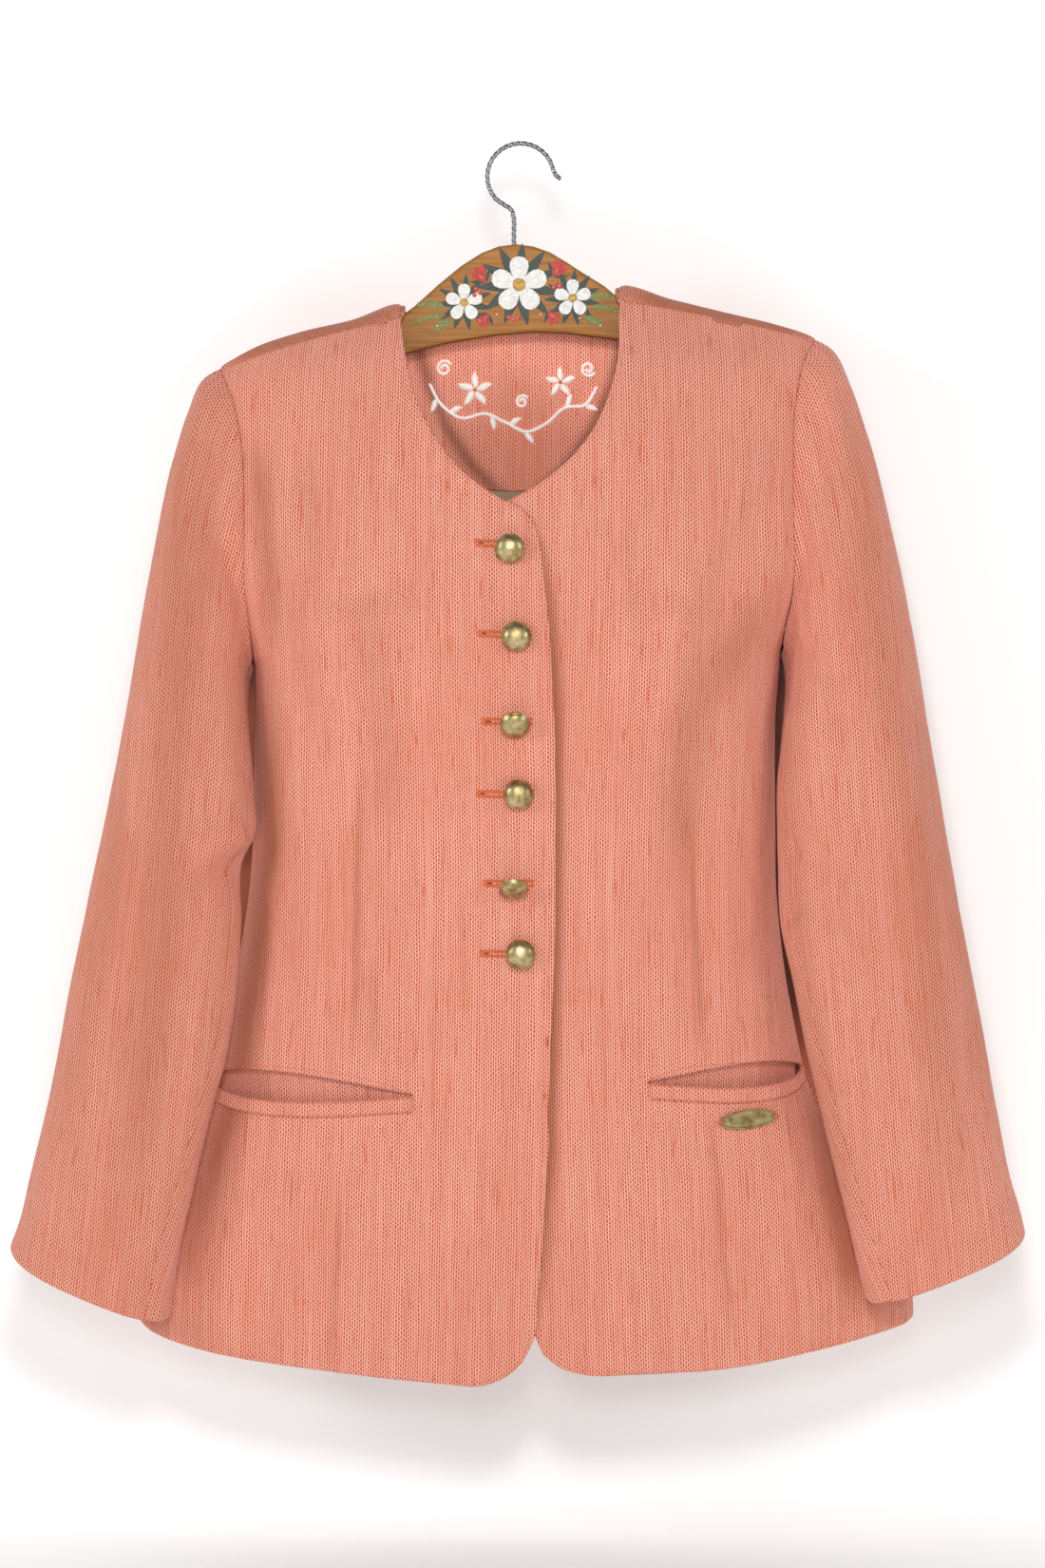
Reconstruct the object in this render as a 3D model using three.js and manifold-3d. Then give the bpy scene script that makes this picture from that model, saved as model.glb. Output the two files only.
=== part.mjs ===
import * as THREE from 'three';
import { mergeVertices } from 'three/addons/utils/BufferGeometryUtils.js';
import Module from 'manifold-3d';

// Collarless blazer hanging on a wooden hanger with a wire hook.
// Millimetres, +Z up, the front faces -Y, and +X is the wearer's left.
// The origin is the inside top of the hook, where a rail holds it.

const wasm = await Module();
wasm.setup();

function table(names, rows) {
  return rows.map((row) => Object.fromEntries(names.map((name, i) => [name, row[i]])));
}
const rad = THREE.MathUtils.degToRad;
const lerp = THREE.MathUtils.lerp;
const clamp = THREE.MathUtils.clamp;

// Cloth
const cloth = 2;
const seamGap = 0.3;
const centreX = -4;
const fullness = 0.25;
const bodyDepths = table(['z', 'front', 'back'], [
  [-90, 60, 44],
  [-150, 61, 48],
  [-240, 64, 54],
  [-300, 69, 57],
  [-350, 72, 57],
  [-400, 71, 54],
  [-450, 67, 51],
  [-520, 65, 52],
  [-600, 64, 56],
  [-680, 62, 58],
  [-760, 58, 55],
  [-830, 54, 51],
]);

// Shoulder ridge from the right tip to the left tip, with the neck hole spanned
const ridge = table(['x', 'z'], [
  [-203, -149.5],
  [-189, -141],
  [-175, -134],
  [-150, -126],
  [-115, -117.4],
  [-79, -107],
  [-40, -96],
  [0, -90],
  [30, -89],
  [65, -95],
  [94, -101.4],
  [130, -110.4],
  [163, -118],
  [185, -124],
  [199, -129.6],
]);
const shoulderRound = { front: 205, back: 225 };
const shoulderSeam = {
  right: { neckX: -80.6, neckDrop: 9, tipDrop: 3 },
  left: { neckX: 66.6, neckDrop: 9.5, tipDrop: 3 },
};

// Armhole and side seam, as distances from the centre plane
const armhole = {
  right: { tip: 203, top: -149.5, bottom: -352 },
  left: { tip: 199, top: -129.6, bottom: -342 },
};
const armholeSpread = 0.42;
const armholeGap = 0.45;
const tipGap = 2.2;
const armholeEnd = rad(166);
const sideLine = {
  right: table(['z', 'x'], [
    [-149.5, 203],
    [-162, 197],
    [-181, 191],
    [-203, 187],
    [-248, 185],
    [-294, 185.5],
    [-323, 182],
    [-352, 179],
    [-395, 179],
    [-433, 180],
    [-472, 181],
    [-510, 184],
    [-540, 189],
    [-568, 195],
    [-591, 202],
    [-614, 208],
    [-642, 216],
    [-670, 224],
    [-702, 234],
    [-734, 245],
    [-766, 254.5],
    [-787, 258],
  ]),
  left: table(['z', 'x'], [
    [-129.6, 199],
    [-140.5, 192],
    [-156, 188],
    [-180, 183.5],
    [-240, 183],
    [-304, 182],
    [-328, 176.5],
    [-342, 174.5],
    [-366, 172.5],
    [-394, 171.5],
    [-471, 172],
    [-510, 173],
    [-538, 176],
    [-567, 180],
    [-590, 184.5],
    [-613, 189],
    [-625, 192],
    [-642, 199],
    [-670, 212],
    [-702, 230],
    [-734, 248],
    [-766, 263],
    [-787, 265],
  ]),
};

// Front edges and necklines from the hem up to the shoulder seam, a row for each level
const rightEdge = table(['x', 'z'], [
  [0.6, -814],
  [8.3, -799],
  [11.5, -770],
  [14.5, -735],
  [16.5, -700],
  [18.5, -668],
  [18.3, -642],
  [18.5, -632],
  [20, -600],
  [21.5, -566],
  [22.7, -535],
  [23, -500],
  [23, -465],
  [23, -430],
  [22.6, -395],
  [21, -362],
  [19, -330],
  [16, -300],
  [13.4, -277],
  [9.3, -259.5],
  [0.6, -248],
  [-13, -241],
  [-35, -225.6],
  [-56, -201],
  [-71.5, -169.5],
  [-77.8, -138],
  [-80.6, -116.2],
]);
const leftEdge = table(['x', 'z'], [
  [15, -808.5],
  [9.5, -795],
  [7, -770],
  [4, -735],
  [1, -700],
  [-4, -668],
  [-8, -640],
  [-9, -630],
  [-16, -597],
  [-20, -566],
  [-24, -535],
  [-26, -500],
  [-27, -465],
  [-27, -430],
  [-27, -395],
  [-26, -362],
  [-26.5, -330],
  [-29, -300],
  [-31, -277],
  [-28, -260],
  [-20, -249.5],
  [-8, -242],
  [10, -232],
  [29, -217.5],
  [48, -194.5],
  [62.5, -158],
  [66.6, -105],
]);
const sideLevels = {
  right: [-787, -774, -752, -722, -692, -664, -636, -622, -594, -564, -534, -502, -470, -438, -408, -380],
  left: [-787, -774, -750, -720, -690, -660, -634, -620, -592, -562, -530, -498, -466, -434, -402, -371],
};
const hem = {
  right: table(['x', 'z'], [
    [0.6, -814],
    [-9.6, -822.7],
    [-21, -827.8],
    [-31, -829],
    [-72, -826],
    [-126, -820],
    [-196, -810.6],
    [-239, -800],
    [-254, -792.6],
    [-258, -787],
  ]),
  left: table(['x', 'z'], [
    [15, -808.5],
    [20.5, -813.8],
    [34, -820.2],
    [51, -822.7],
    [72, -822],
    [138, -818.2],
    [202, -806],
    [246, -795],
    [260.7, -790.7],
    [265, -787],
  ]),
};
const hemRows = 3;
const overlap = { lift: 2.6, from: -62, to: -38 };
const frontColumns = { toPocket: 5, pocketToSide: 9, crowding: 1.5 };
const shoulderInset = 0.2;

// Back, with its neckline as heights past the ridge
const backHemDip = 6;
const backColumns = { shoulder: 5, neck: 10 };
const backNeck = table(['x', 'h'], [
  [-80.6, -98.46],
  [-79.4, -107.2],
  [-76, -113.5],
  [-65, -118.5],
  [-42, -122],
  [-7, -122.8],
  [30, -119],
  [52.5, -113],
  [62, -104],
  [65.8, -95.3],
  [66.6, -85.77],
]);

// Pocket mouths, welts and bags
const pocket = {
  right: { start: 0.262, innerZ: -636.5, outerZ: -625, half: 10.2 },
  left: { start: 0.308, innerZ: -628, outerZ: -619, half: 8.4 },
};
const mouthEnds = 1.3;
const mouthRunIn = 0.4;
const mouthRows = [6, 7];
const mouthCells = 8;
const welt = { height: 9.5, thick: 1.6, lift: 0.6, above: 0.6 };
const bag = { above: 7, below: 62, depth: 10, thick: 1.2, gap: 0.5, shortColumns: 0.25 };

// Facing and lining inside the back
const insideColumns = [3, 17];
const insideGap = 0.6;
const facing = {
  bottomZ: -229.4,
  middleX: -5,
  halfWidth: 112,
  rise: 95,
  curve: 2.4,
  underRidge: 13,
  least: 8,
  thick: 1.2,
  off: 0.6,
  topOff: 2.1,
};
const lining = { topZ: -165, bottomZ: -768, thick: 1.2, off: 0.9, slack: 4 };

// Sleeve rings from the armhole to the cuff, distances out from the centre plane
const ringNames = ['inX', 'inZ', 'outX', 'outZ', 'midY', 'front', 'back', 'dip'];
const rings = {
  right: table(ringNames, [
    [180.6, -356, 213, -156.5, -1, 31, 28, 0],
    [181.6, -361, 224, -180, -3, 33, 29, 0],
    [182.2, -368, 234.5, -215, -7, 33, 29, 0],
    [182.2, -379, 244, -262, -12, 32, 28, 0],
    [181.4, -394, 253, -313, -18, 31, 27, 0],
    [179.6, -414, 260.5, -360, -24, 30, 26, 1],
    [177.8, -438, 268, -407, -29, 29, 25, 2],
    [176.4, -461, 274.5, -440, -32, 28, 25, 3],
    [185.4, -482, 281.5, -473, -34, 28, 24, 4],
    [186, -520, 290.5, -517, -38, 28, 24, 5],
    [188.6, -566, 299.5, -564, -43, 27, 23, 6],
    [194.5, -608, 308, -610, -47, 27, 23, 7],
    [205.5, -650, 317, -655, -50, 26, 22, 9],
    [215.6, -692, 325.5, -690, -53, 26, 22, 11],
    [224.5, -732, 331.5, -716, -54, 25, 21, 12],
    [231.7, -781, 338.6, -737, -55, 24, 20, 12],
  ]),
  left: table(ringNames, [
    [176, -346, 210, -137.5, -1, 31, 28, 0],
    [177, -351, 222, -162, -3, 33, 29, 0],
    [177.6, -358, 234, -197, -7, 33, 29, 0],
    [177.4, -369, 245.5, -243, -12, 32, 28, 0],
    [176.2, -384, 255.5, -290, -18, 31, 27, 0],
    [174.2, -404, 264, -338, -24, 30, 26, 1],
    [171.4, -428, 271.5, -385, -29, 29, 25, 2],
    [171.2, -456, 278.5, -428, -32, 28, 25, 3],
    [171.6, -486, 285, -468, -34, 28, 24, 4],
    [172.6, -520, 292.5, -513, -38, 28, 24, 5],
    [180.5, -558, 300.5, -558, -43, 27, 23, 6],
    [189, -602, 308.5, -602, -47, 27, 23, 7],
    [199.5, -648, 317, -650, -50, 26, 22, 9],
    [209.6, -690, 325, -690, -53, 26, 22, 10],
    [219, -730, 331.5, -712, -54, 25, 21, 10],
    [228.5, -770, 334.8, -728, -55, 24, 20, 10],
  ]),
};
const sleeveSeams = { frontTop: rad(16.6), frontCuff: rad(46), back: rad(252) };
const armSteps = 10;
const sleeveRadius = 28;

// Buttons, domed, standing off the plain front by the width of the overlap or more where they tip
const buttonSize = { radius: 10, backIn: 0.4, dome: 6, rim: 1.6, shankRadius: 2.4, shank: 2.4 };
const buttonSides = 18;
const domeSteps = 5;
const buttons = table(['x', 'z', 'tipDown', 'turn', 'off'], [
  [-7, -274, 6, 5, 3.3],
  [-2.8, -332.5, 0, 0, 3],
  [-3.8, -388.5, 30, -14, 5.2],
  [-1.3, -436.8, 0, 0, 3.2],
  [-4.5, -495, 48, -6, 8.3],
  [0, -542.4, 0, 0, 3],
]);

// Oval plate sewn on through a hole at each end
const plate = { x: 151, z: -652.5, length: 41, height: 12.8, thick: 1.4, turn: 6, off: 0.6 };
const plateHole = { radius: 1.5, fromEnd: 3.4 };

// Hanger: a flat board with curved outlines, and a wire hook in its socket
const board = { half: 5, bevel: 2.2, under: 7, tipUnder: 9.5, tipHeight: 5, tipIn: 3, topZ: -66.6 };
const boardTips = { right: -193, left: 188 };
const boardNeck = { right: -79, left: 65 };
const armPoints = 6;
const boardTop = table(['x', 'z'], [
  [-71, -108],
  [-55, -93.5],
  [-39.7, -81],
  [-26.2, -72.5],
  [-14.7, -68],
  [-3.2, -66.6],
  [8.3, -68],
  [19.8, -72],
  [30.7, -78.5],
  [42.2, -86],
  [56, -94.5],
]);
const boardUnder = table(['x', 'z'], [
  [185, -146],
  [176, -153],
  [120, -141.5],
  [65.3, -131],
  [30.7, -126.5],
  [8.3, -125.8],
  [-14.7, -127.6],
  [-49.3, -133],
  [-77.4, -140.5],
  [-130, -155],
  [-181, -172],
  [-191, -168],
]);
const socket = { radius: 2.1, depth: 17 };
const hook = { wire: 1.6, bowl: 22.4, stemX: -4.5, steps: 46, sides: 8 };
const hookBowl = { from: 16, to: 222, points: 12 };
const hookTip = table(['x', 'z'], [
  [27.3, -22.4],
  [24.9, -20.9],
  [22.9, -18.3],
]);
const hookNeck = table(['x', 'z'], [
  [-10.8, -39.9],
  [-6.4, -42.9],
  [-4.6, -49],
  [-4.5, -58],
]);

// Smooth value of a column in a sorted table
function curveAt(rows, key, name, at) {
  const last = rows.length - 1;
  const way = Math.sign(rows[last][key] - rows[0][key]);
  if (way * (at - rows[0][key]) <= 0) return rows[0][name];
  if (way * (at - rows[last][key]) >= 0) return rows[last][name];
  let i = 0;
  while (way * (rows[i + 1][key] - at) < 0) i += 1;
  const slope = (a, b) => (rows[b][name] - rows[a][name]) / (rows[b][key] - rows[a][key]);
  const step = rows[i + 1][key] - rows[i][key];
  const t = (at - rows[i][key]) / step;
  const startSlope = slope(Math.max(i - 1, 0), i + 1) * step;
  const endSlope = slope(i, Math.min(i + 2, last)) * step;
  const change = rows[i + 1][name] - rows[i][name];
  const bend = startSlope * (t - 2 * t * t + t * t * t) + endSlope * (t * t * t - t * t);
  return rows[i][name] + change * (3 * t * t - 2 * t * t * t) + bend;
}

const numbered = (rows) => rows.map((row, i) => ({ ...row, i }));
const ridgeZ = (x) => curveAt(ridge, 'x', 'z', x);
const signOf = { right: -1, left: 1 };

// Angle from the middle of the front or back to the side, wider below the armhole
function sideAngle(side, z) {
  const { top, bottom } = armhole[side];
  if (z <= bottom) return Math.PI / 2;
  const middle = (top + bottom) / 2;
  const low = Math.max(0, (middle - z) / (middle - bottom));
  return Math.acos(armholeSpread * Math.sqrt(1 - low * low));
}

// A point of the body's outer face; share runs from -1 at the right side to 1 at the left
function bodyPoint(face, share, z) {
  const side = share < 0 ? 'right' : 'left';
  const edge = signOf[side] * curveAt(sideLine[side], 'z', 'x', z);
  const reach = sideAngle(side, z);
  const angle = Math.abs(share) * reach;
  const x = centreX + (edge - centreX) * Math.sin(angle) / Math.sin(reach);
  const drop = clamp((ridgeZ(x) - z) / shoulderRound[face], 0, 1);
  const swell = Math.sqrt(1 - (1 - drop) ** 2);
  const round = Math.cos(angle) * (1 + fullness * Math.sin(angle) ** 2);
  const depth = curveAt(bodyDepths, 'z', face, z) * swell * round;
  return new THREE.Vector3(x, face === 'front' ? -depth : depth, z);
}

// The share of the way to the side that a given x has at a height
function shareAt(x, z) {
  const side = x < centreX ? 'right' : 'left';
  const edge = signOf[side] * curveAt(sideLine[side], 'z', 'x', z);
  const reach = sideAngle(side, z);
  const part = clamp((x - centreX) / (edge - centreX), 0, 1) * Math.sin(reach);
  return signOf[side] * Math.asin(part) / reach;
}

// Height on the armhole at an angle round it, 0 at the underarm and pi at the shoulder tip
function armholeZ(side, angle) {
  const { top, bottom } = armhole[side];
  return lerp(bottom, top, (1 - Math.cos(angle)) / 2);
}

function armholePoint(side, angle) {
  const face = Math.sin(angle) >= 0 ? 'front' : 'back';
  const point = bodyPoint(face, signOf[side], armholeZ(side, angle));
  point.x += signOf[side] * (armholeGap + tipGap * Math.max(0, -Math.cos(angle)) ** 6);
  return point;
}

// A closed cloth wall from a surface given by column and row numbers
function clothWall({ point, columns, rows, thick = cloth, lift = () => 0, out, square, skip = () => false }) {
  const across = columns.length;
  const small = 0.002;
  const outer = [];
  const inner = [];
  for (const row of rows) {
    for (const column of columns) {
      const here = point(column, row);
      const stepC = column + small > columns[across - 1] ? -small : small;
      const stepR = row + small > rows[rows.length - 1] ? -small : small;
      const alongC = point(column + stepC, row).sub(here).divideScalar(stepC);
      const alongR = point(column, row + stepR).sub(here).divideScalar(stepR);
      const normal = alongC.cross(alongR).multiplyScalar(out);
      if (square) square(normal, column, row);
      normal.normalize();
      const raised = lift(column, row, here);
      outer.push(here.clone().addScaledVector(normal, raised));
      inner.push(here.clone().addScaledVector(normal, raised - thick));
    }
  }
  const points = outer.concat(inner);
  const faces = [];
  const used = new Map();
  const quad = (a, b, c, d) => {
    const short = points[a].distanceTo(points[c]) <= points[b].distanceTo(points[d]);
    faces.push(...(short ? [a, b, c, a, c, d] : [a, b, d, b, c, d]));
  };
  for (let r = 0; r < rows.length - 1; r += 1) {
    for (let c = 0; c < across - 1; c += 1) {
      if (skip(c, r)) continue;
      const corners = [r * across + c, r * across + c + 1, (r + 1) * across + c + 1, (r + 1) * across + c];
      if (out < 0) corners.reverse();
      const behind = corners.map((corner) => corner + outer.length).reverse();
      quad(...corners);
      quad(...behind);
      corners.forEach((corner, k) => {
        const next = corners[(k + 1) % 4];
        used.set(`${corner} ${next}`, [corner, next]);
      });
    }
  }
  for (const [a, b] of used.values()) {
    if (used.has(`${b} ${a}`)) continue;
    quad(b, a, a + outer.length, b + outer.length);
  }
  return solidFrom(points, faces);
}

function solidFrom(points, faces) {
  const geometry = new THREE.BufferGeometry();
  const numbers = new Map([...new Set(faces)].map((old, i) => [old, i]));
  const places = new Float32Array(numbers.size * 3);
  for (const [old, i] of numbers) points[old].toArray(places, i * 3);
  geometry.setAttribute('position', new THREE.BufferAttribute(places, 3));
  geometry.setIndex(faces.map((old) => numbers.get(old)));
  geometry.computeVertexNormals();
  return geometry;
}

const steps = (from, to, count) => Array.from({ length: count + 1 }, (_, i) => lerp(from, to, i / count));

// Half height of a pocket mouth along its length, and its middle line
function mouthAt(side, along) {
  const { innerZ, outerZ, half } = pocket[side];
  const open = clamp(along, 0, 1);
  const gape = Math.max(mouthEnds, half * Math.sin(Math.PI * open) ** 0.8);
  const middle = lerp(innerZ, outerZ, Math.max(along, -mouthRunIn));
  return { upper: middle + gape, lower: middle - gape };
}

// One front: rows run from the hem to the shoulder seam, columns from the edge to the side
function frontSurface(side) {
  const edge = numbered(side === 'right' ? rightEdge : leftEdge);
  const levels = sideLevels[side];
  const count = frontColumns.toPocket + frontColumns.pocketToSide;
  const lastRow = edge.length - 1;
  const armRows = lastRow - levels.length;
  const levelRows = numbered(levels.map((z) => ({ z })).concat({ z: armhole[side].bottom }));
  const edgeAngle = (row) => armholeEnd * (row - levels.length) / armRows;
  const sideZ = (row) => {
    if (row > levels.length) return armholeZ(side, edgeAngle(row));
    return curveAt(levelRows, 'i', 'z', row);
  };
  const part = (column) => {
    const { toPocket, pocketToSide, crowding } = frontColumns;
    const { start } = pocket[side];
    if (column <= toPocket) return start * Math.max(0, column / toPocket) ** crowding;
    return start + (1 - start) * (column - toPocket) / pocketToSide;
  };
  const mouthShare = (column) => (column - frontColumns.toPocket) / mouthCells;
  const straightZ = (column, row) => {
    const z = lerp(curveAt(edge, 'i', 'z', row), sideZ(row), part(column));
    const { upper, lower } = mouthAt(side, mouthShare(column));
    const [low, high] = mouthRows;
    const reach = clamp(Math.min(row - low + 1, high + 1 - row), 0, 1);
    const target = row <= low ? lower : row >= high ? upper : lerp(lower, upper, row - low);
    const rowAt = clamp(row, low, high);
    const plain = lerp(curveAt(edge, 'i', 'z', rowAt), sideZ(rowAt), part(column));
    return z + (target - plain) * reach;
  };
  const place = (column, row, z) => {
    const edgeShare = shareSigned(side, curveAt(edge, 'i', 'x', row), z);
    const share = lerp(edgeShare, 1, part(column));
    return bodyPoint('front', signOf[side] * share, z);
  };
  const point = (column, row) => {
    let z = straightZ(column, row);
    if (column >= count) return bodyPoint('front', signOf[side] * lerp(1, 2, part(column) - 1), z);
    if (row < hemRows) {
      const fade = (1 - row / hemRows) ** 2;
      const base = lerp(edge[0].z, levels[0], part(column));
      let hemZ = base;
      for (let turn = 0; turn < 4; turn += 1) hemZ = curveAt(hem[side], 'x', 'z', place(column, 0, hemZ).x);
      z += fade * (hemZ - base);
    }
    return place(column, row, z);
  };
  return { point, count, lastRow, levels, mouthShare };
}

// Share from the middle towards one side, below zero past the middle
function shareSigned(side, x, z) {
  const share = shareAt(x, z);
  return share * signOf[side];
}

function frontPanel(side) {
  const { point, count, lastRow, levels } = frontSurface(side);
  const isRight = side === 'right';
  const lift = (column, row, here) => {
    if (!isRight) return 0;
    return overlap.lift * THREE.MathUtils.smoothstep(here.x, overlap.from, overlap.to);
  };
  const square = (normal, column, row) => {
    if (column >= count - 0.001 && row <= levels.length) normal.y = 0;
  };
  const inset = (column, row) => {
    const here = point(column, row);
    if (column > count - 0.001 && row <= levels.length) here.y -= seamGap / 2;
    if (row > lastRow - 0.001) here.z -= shoulderInset;
    return here;
  };
  const [low] = mouthRows;
  const { toPocket } = frontColumns;
  const skip = (c, r) => r === low && c >= toPocket && c < toPocket + mouthCells;
  const columns = steps(0, count, count);
  const rows = steps(0, lastRow, lastRow);
  return clothWall({ point: inset, columns, rows, lift, square, skip, out: isRight ? -1 : 1 });
}

// Something that lies on a front or hangs behind it, made from the front's own points
function pocketPiece(side, heights, offset, thick, short = 0) {
  const { point, mouthShare } = frontSurface(side);
  const [low] = mouthRows;
  const { toPocket } = frontColumns;
  const from = (column, row) => {
    const base = point(column, low);
    const mouth = mouthAt(side, mouthShare(column));
    const z = heights(mouth, row);
    return bodyPoint('front', signOf[side] * shareSigned(side, base.x, z), z);
  };
  const columns = steps(toPocket, toPocket + mouthCells - short, mouthCells);
  const lift = (column, row) => offset(mouthShare(column), row);
  return { point: from, columns, lift, thick, out: side === 'right' ? -1 : 1 };
}

function pocketWelt(side) {
  const heights = (mouth, row) => mouth.lower + welt.above - welt.height * row;
  const piece = pocketPiece(side, heights, () => welt.lift + welt.thick, welt.thick);
  return clothWall({ ...piece, out: -piece.out, rows: [0, 0.5, 1] });
}

function pocketBag(side) {
  const drop = (mouth) => mouth.upper - mouth.lower + bag.above + bag.below;
  const heights = (mouth, row) => mouth.upper + bag.above - drop(mouth) * row;
  const offset = (along, row) => {
    const belly = Math.sin(Math.PI * clamp(row, 0, 1)) ** 0.6;
    const sides = Math.sin(Math.PI * clamp(along, 0, 1)) ** 0.5;
    return -cloth - bag.gap - (bag.depth - bag.thick) * belly * sides;
  };
  const piece = pocketPiece(side, heights, offset, bag.thick, bag.shortColumns);
  return clothWall({ ...piece, out: -piece.out, rows: [0, 0.12, 0.26, 0.42, 0.62, 0.82, 1] });
}

// Back: rows from the hem over the ridge to the shoulder seams at the front
const backColumnCount = 2 * backColumns.shoulder + backColumns.neck;
const backRows = { lower: 12, arm: 10, over: 2 };

function backTop(column) {
  const { shoulder, neck } = backColumns;
  if (column >= shoulder && column <= shoulder + neck) {
    const i = clamp(column - shoulder, 0, neck);
    const rows = numbered(backNeck);
    const h = curveAt(rows, 'i', 'h', i);
    const x = curveAt(rows, 'i', 'x', i);
    return { x, h, ridgeH: ridgeZ(x) };
  }
  const side = column < shoulder ? 'right' : 'left';
  const { neckX, neckDrop, tipDrop } = shoulderSeam[side];
  const out = side === 'right' ? (shoulder - column) / shoulder : (column - shoulder - neck) / shoulder;
  const tipX = signOf[side] * armhole[side].tip;
  const x = lerp(neckX, tipX, Math.sin(out * Math.PI / 2) ** 1.1);
  const drop = lerp(neckDrop, tipDrop, out * out);
  return { x, h: ridgeZ(x) + drop, ridgeH: ridgeZ(x) };
}

// Height past which a back column lies over the ridge, and the height its rows gather at
function backCrest(column) {
  const { shoulder, neck } = backColumns;
  const top = backTop(column);
  if (column <= shoulder || column >= shoulder + neck) return top.ridgeH;
  const drops = [shoulderSeam.right.neckDrop, shoulderSeam.left.neckDrop];
  return top.h - lerp(...drops, (column - shoulder) / neck);
}

// A point of the back on a column at a height; heights past the ridge come down at the front
function backAt(column, h) {
  const share = lerp(-1, 1, column / backColumnCount);
  const underZ = lerp(armhole.right.bottom, armhole.left.bottom, column / backColumnCount);
  if (h <= underZ) return bodyPoint('back', share, h);
  const top = backTop(column);
  const rise = clamp((h - underZ) / (backCrest(column) - underZ), 0, 1);
  const isEdge = Math.abs(share) > 0.9999;
  let z = h;
  let x = 0;
  let isOver = false;
  for (let turn = 0; turn < 10; turn += 1) {
    const reach = isEdge ? share : lerp(share, shareAt(top.x, z), rise);
    x = bodyPoint('back', reach, z).x;
    isOver = h > ridgeZ(x);
    z = isOver ? 2 * ridgeZ(x) - h : h;
  }
  const reach = isEdge ? share : lerp(share, shareAt(top.x, z), rise);
  return bodyPoint(isOver ? 'front' : 'back', reach, z);
}

function backPoint(column, row) {
  const { lower, arm, over } = backRows;
  const share = lerp(-1, 1, column / backColumnCount);
  const underZ = lerp(armhole.right.bottom, armhole.left.bottom, column / backColumnCount);
  if (row <= lower) {
    const hemZ = -787 - backHemDip * Math.cos(share * Math.PI / 2);
    return backAt(column, lerp(hemZ, underZ, row / lower));
  }
  const crest = backCrest(column);
  const rise = (1 - Math.cos(Math.PI * Math.min(row - lower, arm) / arm)) / 2;
  const past = Math.max(0, row - lower - arm) / over;
  return backAt(column, lerp(underZ, crest, rise) + (backTop(column).h - crest) * past);
}

function backPanel() {
  const { lower, arm, over } = backRows;
  const lastRow = lower + arm + over;
  const square = (normal, column, row) => {
    const atSide = column < 0.001 || column > backColumnCount - 0.001;
    if (atSide && row <= lower) normal.y = 0;
  };
  const inset = (column, row) => {
    const here = backPoint(column, row);
    const atSide = column < 0.001 || column > backColumnCount - 0.001;
    if (atSide && row <= lower) here.y += seamGap / 2;
    return here;
  };
  const columns = steps(0, backColumnCount, backColumnCount);
  return clothWall({ point: inset, columns, rows: steps(0, lastRow, lastRow), square, out: -1 });
}

// Inside the back: the neck facing, and the lining below it
function facingBottom(column) {
  const { middleX, halfWidth, bottomZ, rise, curve } = facing;
  let z = bottomZ;
  for (let turn = 0; turn < 16; turn += 1) {
    const away = Math.abs(backAt(column, z).x - middleX) / halfWidth;
    z = bottomZ + rise * Math.min(1, away) ** curve;
  }
  return z;
}

function insideBack(rows, thick, slack, bottomAt, topAt) {
  const [first, last] = insideColumns;
  const point = (column, row) => backAt(column, lerp(bottomAt(column), topAt(column), row));
  const lift = (column, row) => -cloth - insideGap - slack(row);
  return clothWall({ point, columns: steps(first, last, last - first), rows, lift, thick, out: -1 });
}

function backFacing() {
  const topAt = (column) => Math.min(backTop(column).ridgeH - facing.underRidge, backTop(column).h);
  const bottomAt = (column) => Math.min(facingBottom(column), topAt(column) - facing.least);
  const slack = (row) => lerp(facing.off, facing.topOff, row);
  return insideBack(steps(0, 1, 6), facing.thick, slack, bottomAt, topAt);
}

function backLining() {
  const topAt = (column) => Math.min(lining.topZ, facingBottom(column) - seamGap);
  const slack = (row) => lining.off + lining.slack * Math.sin(Math.PI * clamp(row, 0, 1)) ** 0.5;
  return insideBack(steps(0, 1, 7), lining.thick, slack, () => lining.bottomZ, topAt);
}

// Sleeve: rings round from the inner edge over the front, outer edge and back
function sleevePoint(side, angle, row) {
  const sign = signOf[side];
  const ringRows = numbered(rings[side]);
  const ringPoint = (at) => {
    const value = (name) => curveAt(ringRows, 'i', name, at - 1);
    const out = (1 - Math.cos(angle)) / 2;
    const full = Math.sin(angle) * (1 + fullness * Math.cos(angle) ** 2);
    const depth = full > 0 ? value('front') : value('back');
    const x = sign * lerp(value('inX'), value('outX'), out);
    const z = lerp(value('inZ'), value('outZ'), out) - value('dip') * full;
    return new THREE.Vector3(x, value('midY') - depth * full, z);
  };
  if (row >= 1) return ringPoint(row);
  return armholePoint(side, angle).lerp(ringPoint(1), row);
}

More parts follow.
